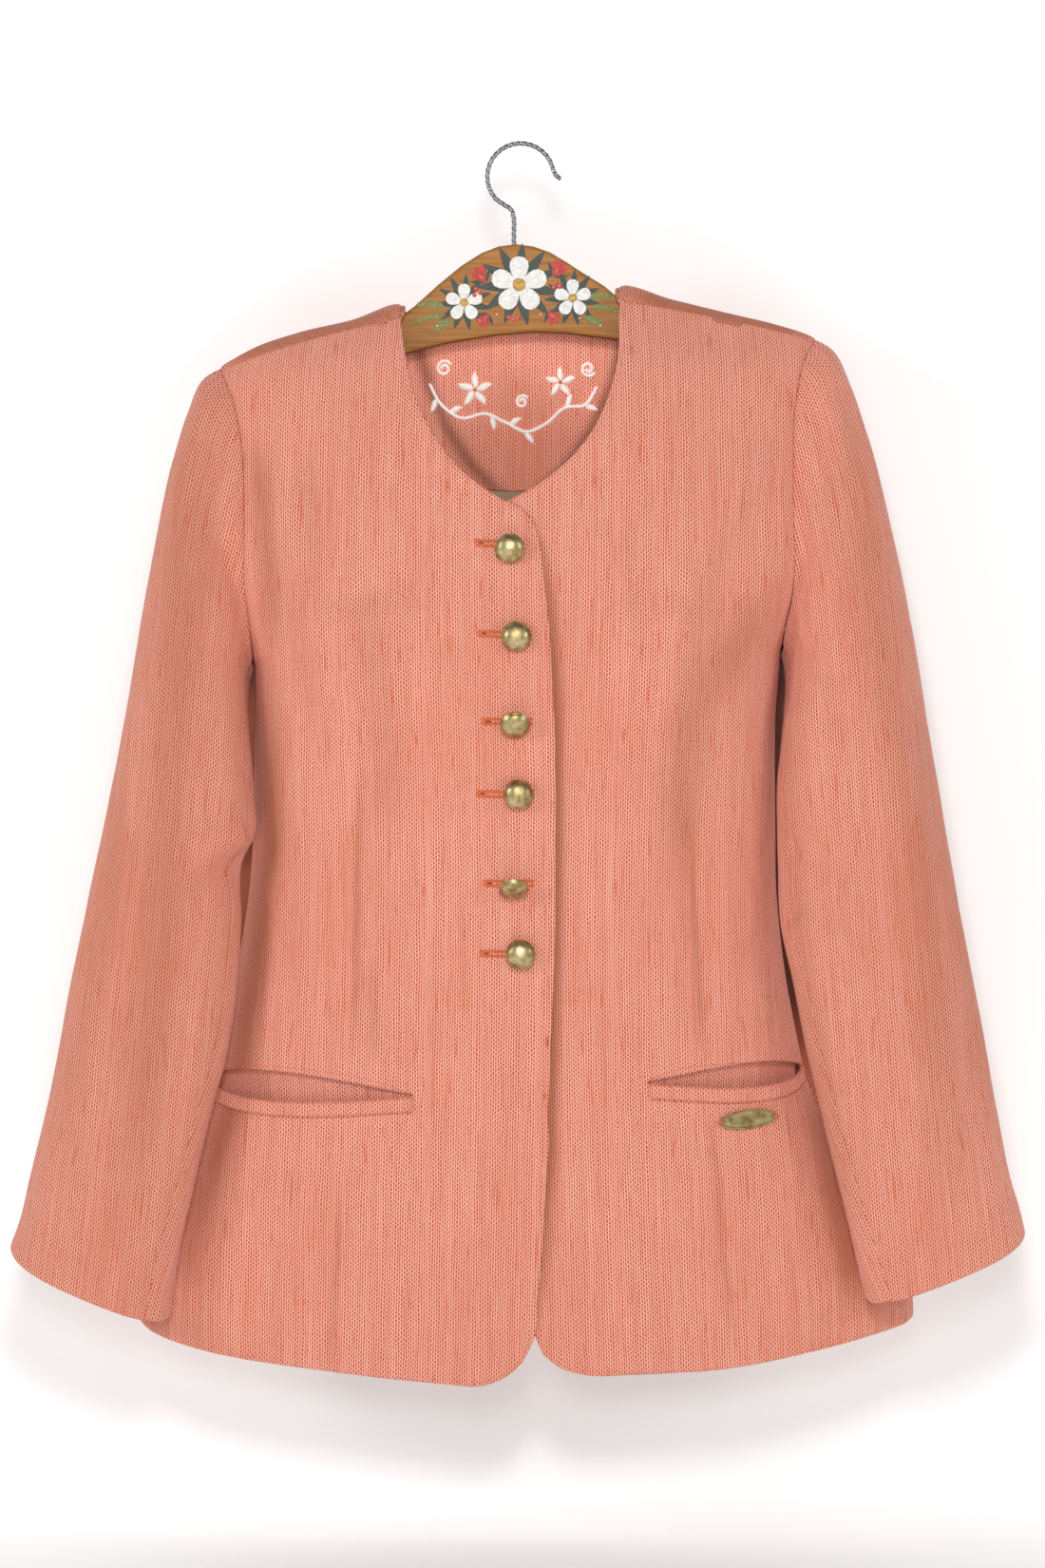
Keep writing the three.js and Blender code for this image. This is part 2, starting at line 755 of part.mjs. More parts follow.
function sleevePanel(side, isUpper) {
  const lastRow = rings[side].length;
  const { frontTop, frontCuff, back } = sleeveSeams;
  const turn = 2 * Math.PI;
  const tipAngle = Math.acos((Math.cos(armholeEnd) - 1) / 2);
  const frontAngles = steps(0, armholeEnd, armSteps).slice(1).concat(tipAngle);
  const backAngles = steps(Math.PI, turn, armSteps);
  const upper = frontAngles.concat(backAngles).filter((angle) => angle < back + 0.01);
  const under = backAngles.filter((angle) => angle > back - 0.01).concat(turn + frontAngles[0]);
  const angles = isUpper ? upper : under;
  const share = angles.map((angle) => (angle - angles[0]) / (angles[angles.length - 1] - angles[0]));
  const half = seamGap / 2 / sleeveRadius;
  const angleAt = (column, row) => {
    const front = lerp(frontTop, frontCuff, (row / lastRow) ** 2);
    const from = isUpper ? front : back;
    const to = isUpper ? back : front + turn;
    return lerp(from + half, to - half, column);
  };
  const point = (column, row) => sleevePoint(side, angleAt(column, row) % turn, row);
  const square = (normal, column, row) => {
    if (row > 0.001) return;
    if (normal.x * signOf[side] > 0) normal.x = 0;
  };
  const out = side === 'right' ? 1 : -1;
  return clothWall({ point, columns: share, rows: steps(0, lastRow, lastRow), square, out });
}

// Domed button with a shank, its face to -Y
function buttonGeometry() {
  const { radius, backIn, dome, rim, shankRadius, shank } = buttonSize;
  const curve = steps(90, 0, domeSteps).map((degrees) => {
    const angle = rad(degrees);
    return new THREE.Vector2(Math.cos(angle) * radius, -rim - shank - Math.sin(angle) * dome);
  });
  curve[0].x = 0;
  const profile = [
    ...curve,
    new THREE.Vector2(radius - backIn, -shank),
    new THREE.Vector2(shankRadius, -shank),
    new THREE.Vector2(shankRadius, 0),
    new THREE.Vector2(0, 0),
  ];
  return new THREE.LatheGeometry(profile, buttonSides);
}

// Tidy a geometry so that its shared points are one, for joining and cutting
function toSolid(geometry) {
  const bare = geometry.clone();
  bare.deleteAttribute('normal');
  bare.deleteAttribute('uv');
  const merged = mergeVertices(bare, 1e-4);
  const vertProperties = new Float32Array(merged.attributes.position.array);
  const triVerts = new Uint32Array(merged.index.array);
  return new wasm.Manifold(new wasm.Mesh({ numProp: 3, vertProperties, triVerts }));
}

function fromSolid(solid) {
  const { vertProperties, triVerts } = solid.getMesh();
  const geometry = new THREE.BufferGeometry();
  geometry.setAttribute('position', new THREE.BufferAttribute(new Float32Array(vertProperties), 3));
  geometry.setIndex(new THREE.BufferAttribute(new Uint32Array(triVerts), 1));
  geometry.computeVertexNormals();
  return geometry;
}

function plateGeometry() {
  const { length, height, thick, turn } = plate;
  const shape = new THREE.Shape();
  shape.absellipse(0, 0, length / 2, height / 2, 0, Math.PI * 2);
  for (const end of [-1, 1]) {
    const path = new THREE.Path();
    path.absarc(end * (length / 2 - plateHole.fromEnd), 0, plateHole.radius, 0, Math.PI * 2, true);
    shape.holes.push(path);
  }
  const geometry = new THREE.ExtrudeGeometry(shape, { depth: thick, bevelEnabled: false, curveSegments: 14 });
  geometry.rotateZ(rad(turn));
  geometry.rotateX(rad(90));
  return geometry;
}

// Board of the hanger, cut out of flat wood, with the hook's socket bored from above
function boardGeometry() {
  const { half, bevel, under, tipUnder, tipHeight, tipIn, topZ } = board;
  const armTop = (x) => ridgeZ(x) - lerp(under, tipUnder, (x / boardTips.left) ** 6);
  const arm = (from, to) => steps(from, to, armPoints).map((x) => ({ x, z: armTop(x) }));
  const tip = (x) => ({ x, z: armTop(x) - tipHeight });
  const outline = [
    ...arm(boardTips.right + tipIn, boardNeck.right),
    ...boardTop,
    ...arm(boardNeck.left, boardTips.left - tipIn),
    tip(boardTips.left),
    ...boardUnder,
    tip(boardTips.right),
  ];
  const shape = new THREE.Shape(outline.map(({ x, z }) => new THREE.Vector2(x, z)));
  const geometry = new THREE.ExtrudeGeometry(shape, {
    depth: 2 * (half - bevel),
    bevelThickness: bevel,
    bevelSize: bevel,
    bevelOffset: -bevel,
    bevelSegments: 2,
  });
  geometry.translate(0, 0, -(half - bevel));
  geometry.rotateX(Math.PI / 2);
  const bore = new THREE.CylinderGeometry(socket.radius, socket.radius, 2 * socket.depth, 16);
  bore.rotateX(Math.PI / 2);
  bore.translate(hook.stemX, 0, topZ);
  return fromSolid(toSolid(geometry).subtract(toSolid(bore)));
}

function hookGeometry() {
  const { wire, bowl, stemX, steps: count, sides } = hook;
  const centreZ = wire - bowl;
  const arc = steps(hookBowl.from, hookBowl.to, hookBowl.points).map((degrees) => {
    const angle = rad(degrees);
    return { x: bowl * Math.cos(angle), z: centreZ + bowl * Math.sin(angle) };
  });
  const foot = { x: stemX, z: board.topZ - socket.depth + seamGap };
  const route = [...hookTip, ...arc, ...hookNeck, foot];
  const path = new THREE.CatmullRomCurve3(route.map(({ x, z }) => new THREE.Vector3(x, 0, z)));
  const section = new THREE.Shape();
  for (let i = 0; i < sides; i += 1) {
    const angle = 2 * Math.PI * i / sides;
    const move = i === 0 ? 'moveTo' : 'lineTo';
    section[move](wire * Math.cos(angle), wire * Math.sin(angle));
  }
  section.closePath();
  return new THREE.ExtrudeGeometry(section, { steps: count, extrudePath: path, bevelEnabled: false });
}

// Finishes
function finish(color, roughness, metalness = 0) {
  return () => new THREE.MeshStandardMaterial({ color, roughness, metalness });
}
const basketWeave = finish(0xe0967c, 0.9);
const satin = finish(0x9a7550, 0.45);
const brass = finish(0xa8925a, 0.4, 1);
const wood = finish(0xb8864a, 0.5);
const chrome = finish(0xc8c8cc, 0.2, 1);

const blazer = new THREE.Group();
function add(name, geometry, material) {
  const mesh = new THREE.Mesh(geometry, material());
  mesh.name = name;
  blazer.add(mesh);
  return mesh;
}

// A point of the front's outer face under an x and a z
const onFront = (x, z) => bodyPoint('front', shareAt(x, z), z);

for (const side of ['right', 'left']) {
  add(`front_${side}`, frontPanel(side), basketWeave);
  add(`sleeve_${side}_upper`, sleevePanel(side, true), basketWeave);
  add(`sleeve_${side}_under`, sleevePanel(side, false), basketWeave);
  add(`pocket_welt_${side}`, pocketWelt(side), basketWeave);
  add(`pocket_bag_${side}`, pocketBag(side), basketWeave);
}
add('back', backPanel(), basketWeave);
add('back_neck_facing', backFacing(), basketWeave);
add('back_lining', backLining(), satin);

buttons.forEach(({ x, z, tipDown, turn, off }, i) => {
  const mesh = add(`button_${i + 1}`, buttonGeometry(), brass);
  mesh.position.set(x, onFront(x, z).y - off, z);
  mesh.rotation.set(rad(tipDown), rad(turn), 0);
});

const ovalPlate = add('oval_plate', plateGeometry(), brass);
const slope = onFront(plate.x + 1, plate.z).sub(onFront(plate.x, plate.z));
ovalPlate.rotation.z = Math.atan2(slope.y, slope.x);
ovalPlate.position.copy(onFront(plate.x, plate.z));
ovalPlate.translateY(-plate.off);

add('hanger_board', boardGeometry(), wood);
add('hanger_hook', hookGeometry(), chrome);

export default blazer;
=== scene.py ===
import math
import bmesh
import bpy
import numpy as np
from mathutils import Matrix, Vector, noise
from mathutils.bvhtree import BVHTree


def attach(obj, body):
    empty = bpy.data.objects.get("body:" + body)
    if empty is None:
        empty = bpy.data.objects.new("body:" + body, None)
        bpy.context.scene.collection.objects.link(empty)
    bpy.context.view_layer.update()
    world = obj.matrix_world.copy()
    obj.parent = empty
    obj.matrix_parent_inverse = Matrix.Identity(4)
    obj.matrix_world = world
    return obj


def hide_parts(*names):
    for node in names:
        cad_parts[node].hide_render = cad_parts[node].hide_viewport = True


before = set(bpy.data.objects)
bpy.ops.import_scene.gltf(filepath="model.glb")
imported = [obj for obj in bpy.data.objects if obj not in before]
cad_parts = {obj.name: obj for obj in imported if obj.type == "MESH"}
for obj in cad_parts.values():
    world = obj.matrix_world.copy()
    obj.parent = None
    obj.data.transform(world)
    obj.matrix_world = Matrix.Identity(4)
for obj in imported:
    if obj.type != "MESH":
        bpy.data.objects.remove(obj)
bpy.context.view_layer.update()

# Collarless blazer on a wooden hanger. Metres, the front faces -Y, the origin is the hook's inside top.
scene = bpy.context.scene
mm = 0.001
bpy.ops.object.select_all(action="DESELECT")
print("frame loaded")


# Camera and light
view = {"centreX": 0.0013, "centreZ": -0.4298, "height": 1.056, "lens": 120, "sensor": 36}
distance = view["height"] * view["lens"] / view["sensor"]
cameraData = bpy.data.cameras.new("camera")
cameraData.sensor_fit = "VERTICAL"
cameraData.sensor_height = view["sensor"]
cameraData.lens = view["lens"]
camera = bpy.data.objects.new("camera", cameraData)
scene.collection.objects.link(camera)
camera.location = (view["centreX"], -distance, view["centreZ"])
camera.rotation_euler = (math.radians(90), 0, 0)
scene.camera = camera
scene.view_settings.view_transform = "Standard"

lamps = {
    "left": {"place": (-2.0, -1.35, 0.2), "size": 0.45, "power": 12.5},
    "right": {"place": (2.0, -1.5, 0.1), "size": 0.6, "power": 9},
    "top": {"place": (0.0, -2.2, 0.3), "size": 0.3, "power": 17},
    "front": {"place": (-0.1, -3.2, -0.12), "size": 0.4, "power": 13},
}
aim = Vector((0, 0, -0.45))
for name, lamp in lamps.items():
    lampData = bpy.data.lights.new(name, "AREA")
    lampData.energy = lamp["power"]
    lampData.size = lamp["size"]
    lampObject = bpy.data.objects.new(name, lampData)
    scene.collection.objects.link(lampObject)
    lampObject.location = lamp["place"]
    lampObject.rotation_euler = (aim - Vector(lamp["place"])).to_track_quat("-Z", "Y").to_euler()
world = bpy.data.worlds.new("studio")
scene.world = world
world.use_nodes = True
worldLight = 0.18


# Small node helpers
def addNode(tree, kind, inputs=None, **settings):
    made = tree.nodes.new(kind)
    for key, value in settings.items():
        setattr(made, key, value)
    for key, value in (inputs or {}).items():
        if isinstance(value, bpy.types.NodeSocket):
            tree.links.new(value, made.inputs[key])
        else:
            made.inputs[key].default_value = value
    return made


def calc(tree, operation, *values, clamp=False):
    inputs = dict(enumerate(values))
    return addNode(tree, "ShaderNodeMath", inputs, operation=operation, use_clamp=clamp).outputs[0]


def smooth(tree, value, low, high):
    ranged = addNode(tree, "ShaderNodeMapRange", {"Value": value, "From Min": low, "From Max": high})
    ranged.interpolation_type = "SMOOTHSTEP"
    return ranged.outputs["Result"]


def blendColor(tree, factor, first, second, kind="MIX"):
    mixed = addNode(tree, "ShaderNodeMix", data_type="RGBA", blend_type=kind)
    for socket, value in zip((mixed.inputs[0], mixed.inputs[6], mixed.inputs[7]), (factor, first, second)):
        if isinstance(value, bpy.types.NodeSocket):
            tree.links.new(value, socket)
        else:
            socket.default_value = value
    return mixed.outputs[2]


def blotches(tree, vector, scale, detail=2.0, rough=0.5):
    inputs = {"Vector": vector, "Scale": scale, "Detail": detail, "Roughness": rough}
    return addNode(tree, "ShaderNodeTexNoise", inputs).outputs["Fac"]


def stretched(tree, vector, scale, turn=(0, 0, 0)):
    inputs = {"Vector": vector, "Scale": scale, "Rotation": turn}
    return addNode(tree, "ShaderNodeMapping", inputs).outputs[0]


def times(tree, first, second, clamp=False):
    return calc(tree, "MULTIPLY", first, second, clamp=clamp)


def plus(tree, first, second):
    return calc(tree, "ADD", first, second)


def minus(tree, first, second, clamp=False):
    return calc(tree, "SUBTRACT", first, second, clamp=clamp)


# Lays one colour over another where a pattern lies between low and high
def stain(tree, color, pattern, low, high, share, over):
    return blendColor(tree, times(tree, smooth(tree, pattern, low, high), share), color, over)


# The world is seen white, and lights the scene softly
seen = addNode(world.node_tree, "ShaderNodeLightPath").outputs["Is Camera Ray"]
behind = world.node_tree.nodes["Background"]
behind.inputs["Color"].default_value = (1, 1, 1, 1)
strength = plus(world.node_tree, worldLight, times(world.node_tree, seen, 1.0 - worldLight))
world.node_tree.links.new(strength, behind.inputs["Strength"])


# sRGB numbers from 0 to 255 as a linear colour
def tint(red, green, blue):
    def linear(part):
        part = part / 255
        return part / 12.92 if part <= 0.04045 else ((part + 0.055) / 1.055) ** 2.4
    return (linear(red), linear(green), linear(blue), 1)


def newMaterial(name, roughness=0.5, metallic=0.0, sheen=0.0, coat=0.0):
    material = bpy.data.materials.new(name)
    material.use_nodes = True
    surface = material.node_tree.nodes["Principled BSDF"]
    surface.inputs["Roughness"].default_value = roughness
    surface.inputs["Metallic"].default_value = metallic
    surface.inputs["Sheen Weight"].default_value = sheen
    surface.inputs["Coat Weight"].default_value = coat
    return material, material.node_tree, surface


# Gives a surface its colour and its relief
def coverSurface(tree, surface, color, height, depth, strength=1.0):
    tree.links.new(color, surface.inputs["Base Color"])
    bump = addNode(tree, "ShaderNodeBump", {"Height": height, "Distance": depth, "Strength": strength})
    tree.links.new(bump.outputs[0], surface.inputs["Normal"])


# Where a point lies on the flat cut piece, in millimetres
def cutPlace(tree):
    uv = addNode(tree, "ShaderNodeUVMap", uv_map="cut").outputs[0]
    return stretched(tree, uv, (1000, 1000, 1000))


def ownPlace(tree):
    return addNode(tree, "ShaderNodeTexCoord").outputs["Object"]


# Noise on the flat cloth, with its own scale across and along
def flecks(tree, flat, across, along, detail=3.0, rough=0.5, turn=0.0):
    return blotches(tree, stretched(tree, flat, (across, along, 1), (0, 0, turn)), 1.0, detail, rough)


# Basket weave: pale warp columns with staggered dots between them, sizes in millimetres
weave = {
    "column": 1.63,  # from one warp column to the next
    "dot": 2.75,  # from one dot to the next along a column
    "dotWidth": 0.27,
    "dotLength": 0.34,
    "wave": 0.15,  # how far the pale columns swing around the dots, in columns
    "wander": 2.2,  # how far the columns drift sideways
    "uneven": 0.9,  # how far the dots drift along their column, in dots
    "shift": 0.16,  # how far a column's dots lie from the even stagger, in dots
    "depth": 0.00014,
    "pale": tint(250, 208, 190),
    "middle": tint(224, 136, 106),
    "dark": tint(188, 60, 38),
    "slub": tint(202, 88, 48),
    "blush": tint(236, 150, 140),
    "rose": tint(226, 138, 132),
    "straw": tint(226, 172, 130),
    "rust": tint(206, 104, 66),
    "clay": tint(208, 116, 84),
    # painted shade, and the deep painted shade of the dark gaps beside the sleeves
    "paintedShade": tint(158, 86, 50),
    "deepShade": tint(70, 22, 8),
    # each noise has a scale across and along, detail, roughness and turn, and its stains have
    # the level where they start, the level where they are full, a share and a colour
    "stains": [
        (0.75, 0.42, 4.0, 0.75, 0.0, [(0.52, 0.75, 0.5, "rose"), (0.46, 0.26, 0.4, "straw")]),
        (0.5, 0.03, 4.0, 0.68, 0.0, [(0.54, 0.74, 0.85, "slub")]),
        (0.16, 0.007, 4.0, 0.72, 0.0, [(0.5, 0.74, 0.34, "rust"), (0.5, 0.3, 0.12, "pale")]),
        (0.03, 0.7, 3.0, 0.6, 0.02, [(0.58, 0.78, 0.4, "slub")]),
        (0.012, 0.007, 4.0, 0.6, 0.0, [(0.4, 0.72, 0.3, "clay")]),
    ],
}


def basketWeave(name):
    material, tree, surface = newMaterial(name, roughness=0.92, sheen=0.12)
    surface.inputs["Sheen Roughness"].default_value = 0.6
    surface.inputs["Specular IOR Level"].default_value = 0.18
    flat = cutPlace(tree)
    parts = addNode(tree, "ShaderNodeSeparateXYZ", {0: flat})
    drift = minus(tree, flecks(tree, flat, 0.12, 0.035), 0.5)
    across = plus(tree, parts.outputs[0], times(tree, drift, weave["wander"]))
    uneven = times(tree, flecks(tree, flat, 0.2, 0.12), weave["uneven"])
    rise = plus(tree, calc(tree, "DIVIDE", parts.outputs[1], weave["dot"]), uneven)
    columns = calc(tree, "DIVIDE", across, weave["column"])
    swing = times(tree, calc(tree, "COSINE", times(tree, rise, 2 * math.pi)), weave["wave"])
    swing = times(tree, swing, calc(tree, "COSINE", times(tree, columns, math.pi)))
    columns = minus(tree, columns, swing)
    number = calc(tree, "FLOOR", columns)
    side = minus(tree, minus(tree, columns, number), 0.5)
    chance = addNode(tree, "ShaderNodeTexWhiteNoise", {"W": number}, noise_dimensions="1D").outputs["Value"]
    stagger = times(tree, calc(tree, "MODULO", number, 2.0), 0.5)
    step = plus(tree, plus(tree, rise, stagger), times(tree, chance, weave["shift"]))
    level = minus(tree, calc(tree, "FRACT", step), 0.5)
    squares = [
        calc(tree, "POWER", calc(tree, "ABSOLUTE", calc(tree, "DIVIDE", place, size)), 2.0)
        for place, size in ((side, weave["dotWidth"]), (level, weave["dotLength"]))
    ]
    dot = smooth(tree, plus(tree, *squares), 1.5, 0.35)
    paleLine = smooth(tree, calc(tree, "ABSOLUTE", side), 0.23, 0.4)
    fine = flecks(tree, flat, 1.4, 0.9, rough=0.7)
    color = blendColor(tree, times(tree, paleLine, 0.9), weave["middle"], weave["pale"])
    dotColor = blendColor(tree, times(tree, chance, 0.5), weave["dark"], weave["slub"])
    color = blendColor(tree, times(tree, dot, smooth(tree, fine, 0.0, 0.5)), color, dotColor)
    color = stain(tree, color, chance, 0.6, 1.0, 0.35, weave["blush"])
    for scaleAcross, scaleAlong, detail, rough, turn, stains in weave["stains"]:
        pattern = flecks(tree, flat, scaleAcross, scaleAlong, detail, rough, turn)
        for low, high, share, over in stains:
            color = stain(tree, color, pattern, low, high, share, weave[over])
    # painted shading laid on each piece as its tone: 0 to 1 is painted shade in brown, 1 to 2 the deep
    # painted shade of a dark gap, below 0 painted light that makes it lighter
    tone = addNode(tree, "ShaderNodeAttribute", attribute_name="tone").outputs["Fac"]
    color = blendColor(tree, times(tree, tone, 0.8, clamp=True), color, weave["paintedShade"])
    deepShade = minus(tree, tone, 1.0, clamp=True)
    color = blendColor(tree, times(tree, deepShade, 0.9), color, weave["deepShade"])
    # painted light: below 0 the colour is made up to half as bright again
    lit = plus(tree, 1.0, times(tree, times(tree, tone, -1.0, clamp=True), 0.5))
    color = blendColor(tree, 1.0, color, lit, kind="MULTIPLY")
    warp = calc(tree, "COSINE", times(tree, side, 2 * math.pi))
    weft = calc(tree, "COSINE", times(tree, level, 2 * math.pi))
    height = minus(tree, times(tree, weft, 0.35), times(tree, warp, 0.6))
    height = plus(tree, height, times(tree, fine, 0.9))
    coverSurface(tree, surface, color, height, weave["depth"])
    return material


def satinLining(name):
    material, tree, surface = newMaterial(name, roughness=0.38, sheen=0.3)
    flat = cutPlace(tree)
    yarn = flecks(tree, flat, 4.0, 0.15, 2.0)
    color = blendColor(tree, yarn, tint(150, 112, 72), tint(186, 146, 100))
    color = blendColor(tree, times(tree, flecks(tree, flat, 0.02, 0.03), 0.4), color, tint(140, 98, 64))
    coverSurface(tree, surface, color, yarn, 0.00004)
    return material


def antiqueBrass(name):
    material, tree, surface = newMaterial(name, roughness=0.33, metallic=1.0)
    place = ownPlace(tree)
    cloud = blotches(tree, place, 130, 5.0, 0.65)
    speck = blotches(tree, place, 900, 3.0, 0.6)
    color = blendColor(tree, smooth(tree, cloud, 0.35, 0.7), tint(204, 188, 142), tint(138, 114, 62))
    color = stain(tree, color, speck, 0.55, 0.75, 0.5, tint(96, 80, 44))
    rough = plus(tree, 0.22, times(tree, cloud, 0.3))
    tree.links.new(rough, surface.inputs["Roughness"])
    coverSurface(tree, surface, color, plus(tree, cloud, times(tree, speck, 0.3)), 0.0004, 0.5)
    return material


def twistedChrome(name):
    material, tree, surface = newMaterial(name, roughness=0.2, metallic=1.0)
    speck = blotches(tree, ownPlace(tree), 700, 4.0, 0.6)
    tree.links.new(plus(tree, 0.12, times(tree, speck, 0.25)), surface.inputs["Roughness"])
    color = blendColor(tree, speck, tint(104, 104, 110), tint(172, 172, 178))
    coverSurface(tree, surface, color, speck, 0.0001, 0.4)
    return material


def varnishedWood(name):
    material, tree, surface = newMaterial(name, roughness=0.6, coat=0.06)
    surface.inputs["Coat Roughness"].default_value = 0.3
    surface.inputs["Specular IOR Level"].default_value = 0.2
    place = ownPlace(tree)
    grain = blotches(tree, stretched(tree, place, (18, 200, 420)), 1.0, 6.0, 0.65)
    pore = blotches(tree, stretched(tree, place, (120, 900, 2400)), 1.0, 3.0, 0.6)
    cloud = blotches(tree, place, 22, 3.0)
    color = blendColor(tree, smooth(tree, grain, 0.3, 0.72), tint(184, 126, 62), tint(142, 88, 34))
    color = stain(tree, color, pore, 0.55, 0.8, 0.5, tint(112, 72, 30))
    color = blendColor(tree, times(tree, cloud, 0.35), color, tint(176, 122, 56))
    # painted shade: the bevel, which lies behind the front face, is darker
    depth = addNode(tree, "ShaderNodeSeparateXYZ", {0: place}).outputs[1]
    color = stain(tree, color, depth, -0.0047, -0.0041, 0.75, tint(116, 76, 30))
    coverSurface(tree, surface, color, plus(tree, grain, pore), 0.00012)
    return material


def paint(name, light, dark):
    material, tree, surface = newMaterial(name, roughness=0.5)
    stroke = blotches(tree, ownPlace(tree), 420, 4.0, 0.7)
    color = blendColor(tree, smooth(tree, stroke, 0.3, 0.7), light, dark)
    coverSurface(tree, surface, color, stroke, 0.0002)
    return material


def thread(name, light, dark, paintedGlow=0.0):
    material, tree, surface = newMaterial(name, roughness=0.7, sheen=0.3)
    # painted light: the thread can glow a little in its light colour, though it is no lamp
    surface.inputs["Emission Color"].default_value = light
    surface.inputs["Emission Strength"].default_value = paintedGlow
    twist = blotches(tree, stretched(tree, ownPlace(tree), (2600, 2600, 2600)), 1.0, 2.0)
    color = blendColor(tree, smooth(tree, twist, 0.3, 0.7), light, dark)
    coverSurface(tree, surface, color, twist, 0.0001)
    return material


finishes = {
    "weave": basketWeave("basket weave"),
    "satin": satinLining("satin lining"),
    "brass": antiqueBrass("antique brass"),
    "chrome": twistedChrome("twisted chrome"),
    "wood": varnishedWood("varnished wood"),
    "orangeThread": thread("orange thread", tint(232, 116, 50), tint(202, 86, 36)),
    "palePink": thread("tone thread", tint(228, 138, 102), tint(198, 100, 66)),
    # the white thread glows a little: painted light that keeps it bright
    "whiteThread": thread("white thread", tint(255, 254, 250), tint(244, 238, 230), paintedGlow=0.22),
    # the slit's dark thread line is painted shade in the buttonhole's cut
    "slit": paint("dark slit", tint(70, 34, 26), tint(44, 20, 16)),
    "whitePaint": paint("white paint", tint(248, 246, 240), tint(214, 212, 206)),
    "redPaint": paint("red paint", tint(214, 52, 34), tint(160, 30, 22)),
    "yellowPaint": paint("yellow paint", tint(226, 186, 80), tint(150, 110, 40)),
    "darkLeafPaint": paint("dark leaf paint", tint(58, 70, 58), tint(34, 44, 38)),
    "leafPaint": paint("leaf paint", tint(140, 158, 84), tint(88, 112, 60)),
}
print("materials made")


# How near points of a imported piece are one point, and how true its wall is
packed = {"merge": 0.02 * mm, "wallSlack": 0.01 * mm}


# A cloth node is a wall of equal thickness, built as a grid. This gives the grid of its outer side back as
# points[row][column], from the corner nearest start along the first row to the corner nearest end.
# It also gives the way out at each point, and the cells of the grid that are an opening.
def clothGrid(node, thick, start, end):
    bm = bmesh.new()
    bm.from_mesh(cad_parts[node].data)
    bmesh.ops.remove_doubles(bm, verts=bm.verts, dist=packed["merge"])

    def isWall(edge):
        return abs(edge.calc_length() - thick) < packed["wallSlack"]

    walls = [e for e in bm.edges if isWall(e)]
    rim = {v for e in walls for v in e.verts}
    # a wall face that reaches a point inside the cloth has its diagonal laid the wrong way
    for face in {f for e in walls for f in e.link_faces}:
        for edge in face.edges:
            inside = [v for v in edge.verts if v not in rim]
            beyond = [v for f in edge.link_faces if f != face for v in f.verts if v not in edge.verts]
            if inside and beyond and beyond[0] in rim:
                bmesh.ops.rotate_edges(bm, edges=[edge], use_ccw=False)
                break
    rims = [f for f in bm.faces if any(isWall(e) for e in f.edges)]
    bmesh.ops.delete(bm, geom=rims, context="FACES_ONLY")
    bmesh.ops.delete(bm, geom=[e for e in bm.edges if not e.link_faces], context="EDGES")
    bm.faces.ensure_lookup_table()
    layers = []
    seen = set()
    for first in bm.faces:
        if first in seen:
            continue
        seen.add(first)
        todo, layer = [first], []
        while todo:
            face = todo.pop()
            layer.append(face)
            for beside in {f for e in face.edges for f in e.link_faces} - seen:
                seen.add(beside)
                todo.append(beside)
        layers.append(layer)
    outer = max(layers, key=lambda layer: sum(f.calc_area() for f in layer))
    bm.verts.index_update()
    places = [v.co.copy() for v in bm.verts]
    thirds = {}
    normals = {}
    for face in outer:
        corners = [v.index for v in face.verts]
        for k in range(3):
            pair = frozenset((corners[k], corners[(k + 1) % 3]))
            thirds.setdefault(pair, []).append(corners[(k + 2) % 3])
        for corner in corners:
            normals[corner] = normals.get(corner, Vector()) + face.normal
    beside = {}
    for pair, points in thirds.items():
        if len(points) == 1:
            a, b = pair
            beside.setdefault(a, []).append(b)
            beside.setdefault(b, []).append(a)

    def nearest(place):
        return min(beside, key=lambda i: (places[i] - Vector(place)).length)

    corner, turn = nearest(start), nearest(end)
    loop = [corner, beside[corner][0]]
    while loop[-1] != corner:
        ahead = [i for i in beside[loop[-1]] if i != loop[-2]]
        loop.append(ahead[0])
    loop.pop()
    if loop.index(turn) > len(loop) / 2:
        loop = [loop[0]] + loop[:0:-1]
    across = loop.index(turn)
    down = len(loop) // 2 - across
    grid = [loop[: across + 1]]
    placed = set(grid[0])

    def cross(a, b, known):
        ahead = [i for i in thirds.get(frozenset((a, b)), []) if i not in placed]
        if ahead == [known]:
            ahead = [i for i in thirds[frozenset((b, known))] if i not in placed]
        return ahead[0] if ahead else None

    holes = set()
    for row in range(down):
        below = grid[-1]
        above = [None] * (across + 1)
        above[0] = loop[-(row + 1)]
        above[across] = loop[across + row + 1]
        for i in range(across - 1):
            if above[i] is not None:
                above[i + 1] = cross(below[i], below[i + 1], above[i])
        for i in range(across, 0, -1):
            if above[i - 1] is None and above[i] is not None:
                above[i - 1] = cross(below[i], below[i - 1], above[i])
        gap = [i for i in range(across + 1) if above[i] is None]
        if gap:
            came, at = below[gap[0] - 1], above[gap[0] - 1]
            for i in gap:
                ahead = [k for k in beside[at] if k != came]
                came, at = at, ahead[0]
                above[i] = at
            holes |= {(row, i) for i in range(gap[0] - 1, gap[-1] + 1)}
        grid.append(above)
        placed |= set(above)
    points = np.array([[places[i] for i in line] for line in grid])
    outward = np.array([[normals[i].normalized() for i in line] for line in grid])
    bm.free()
    return points, outward, holes


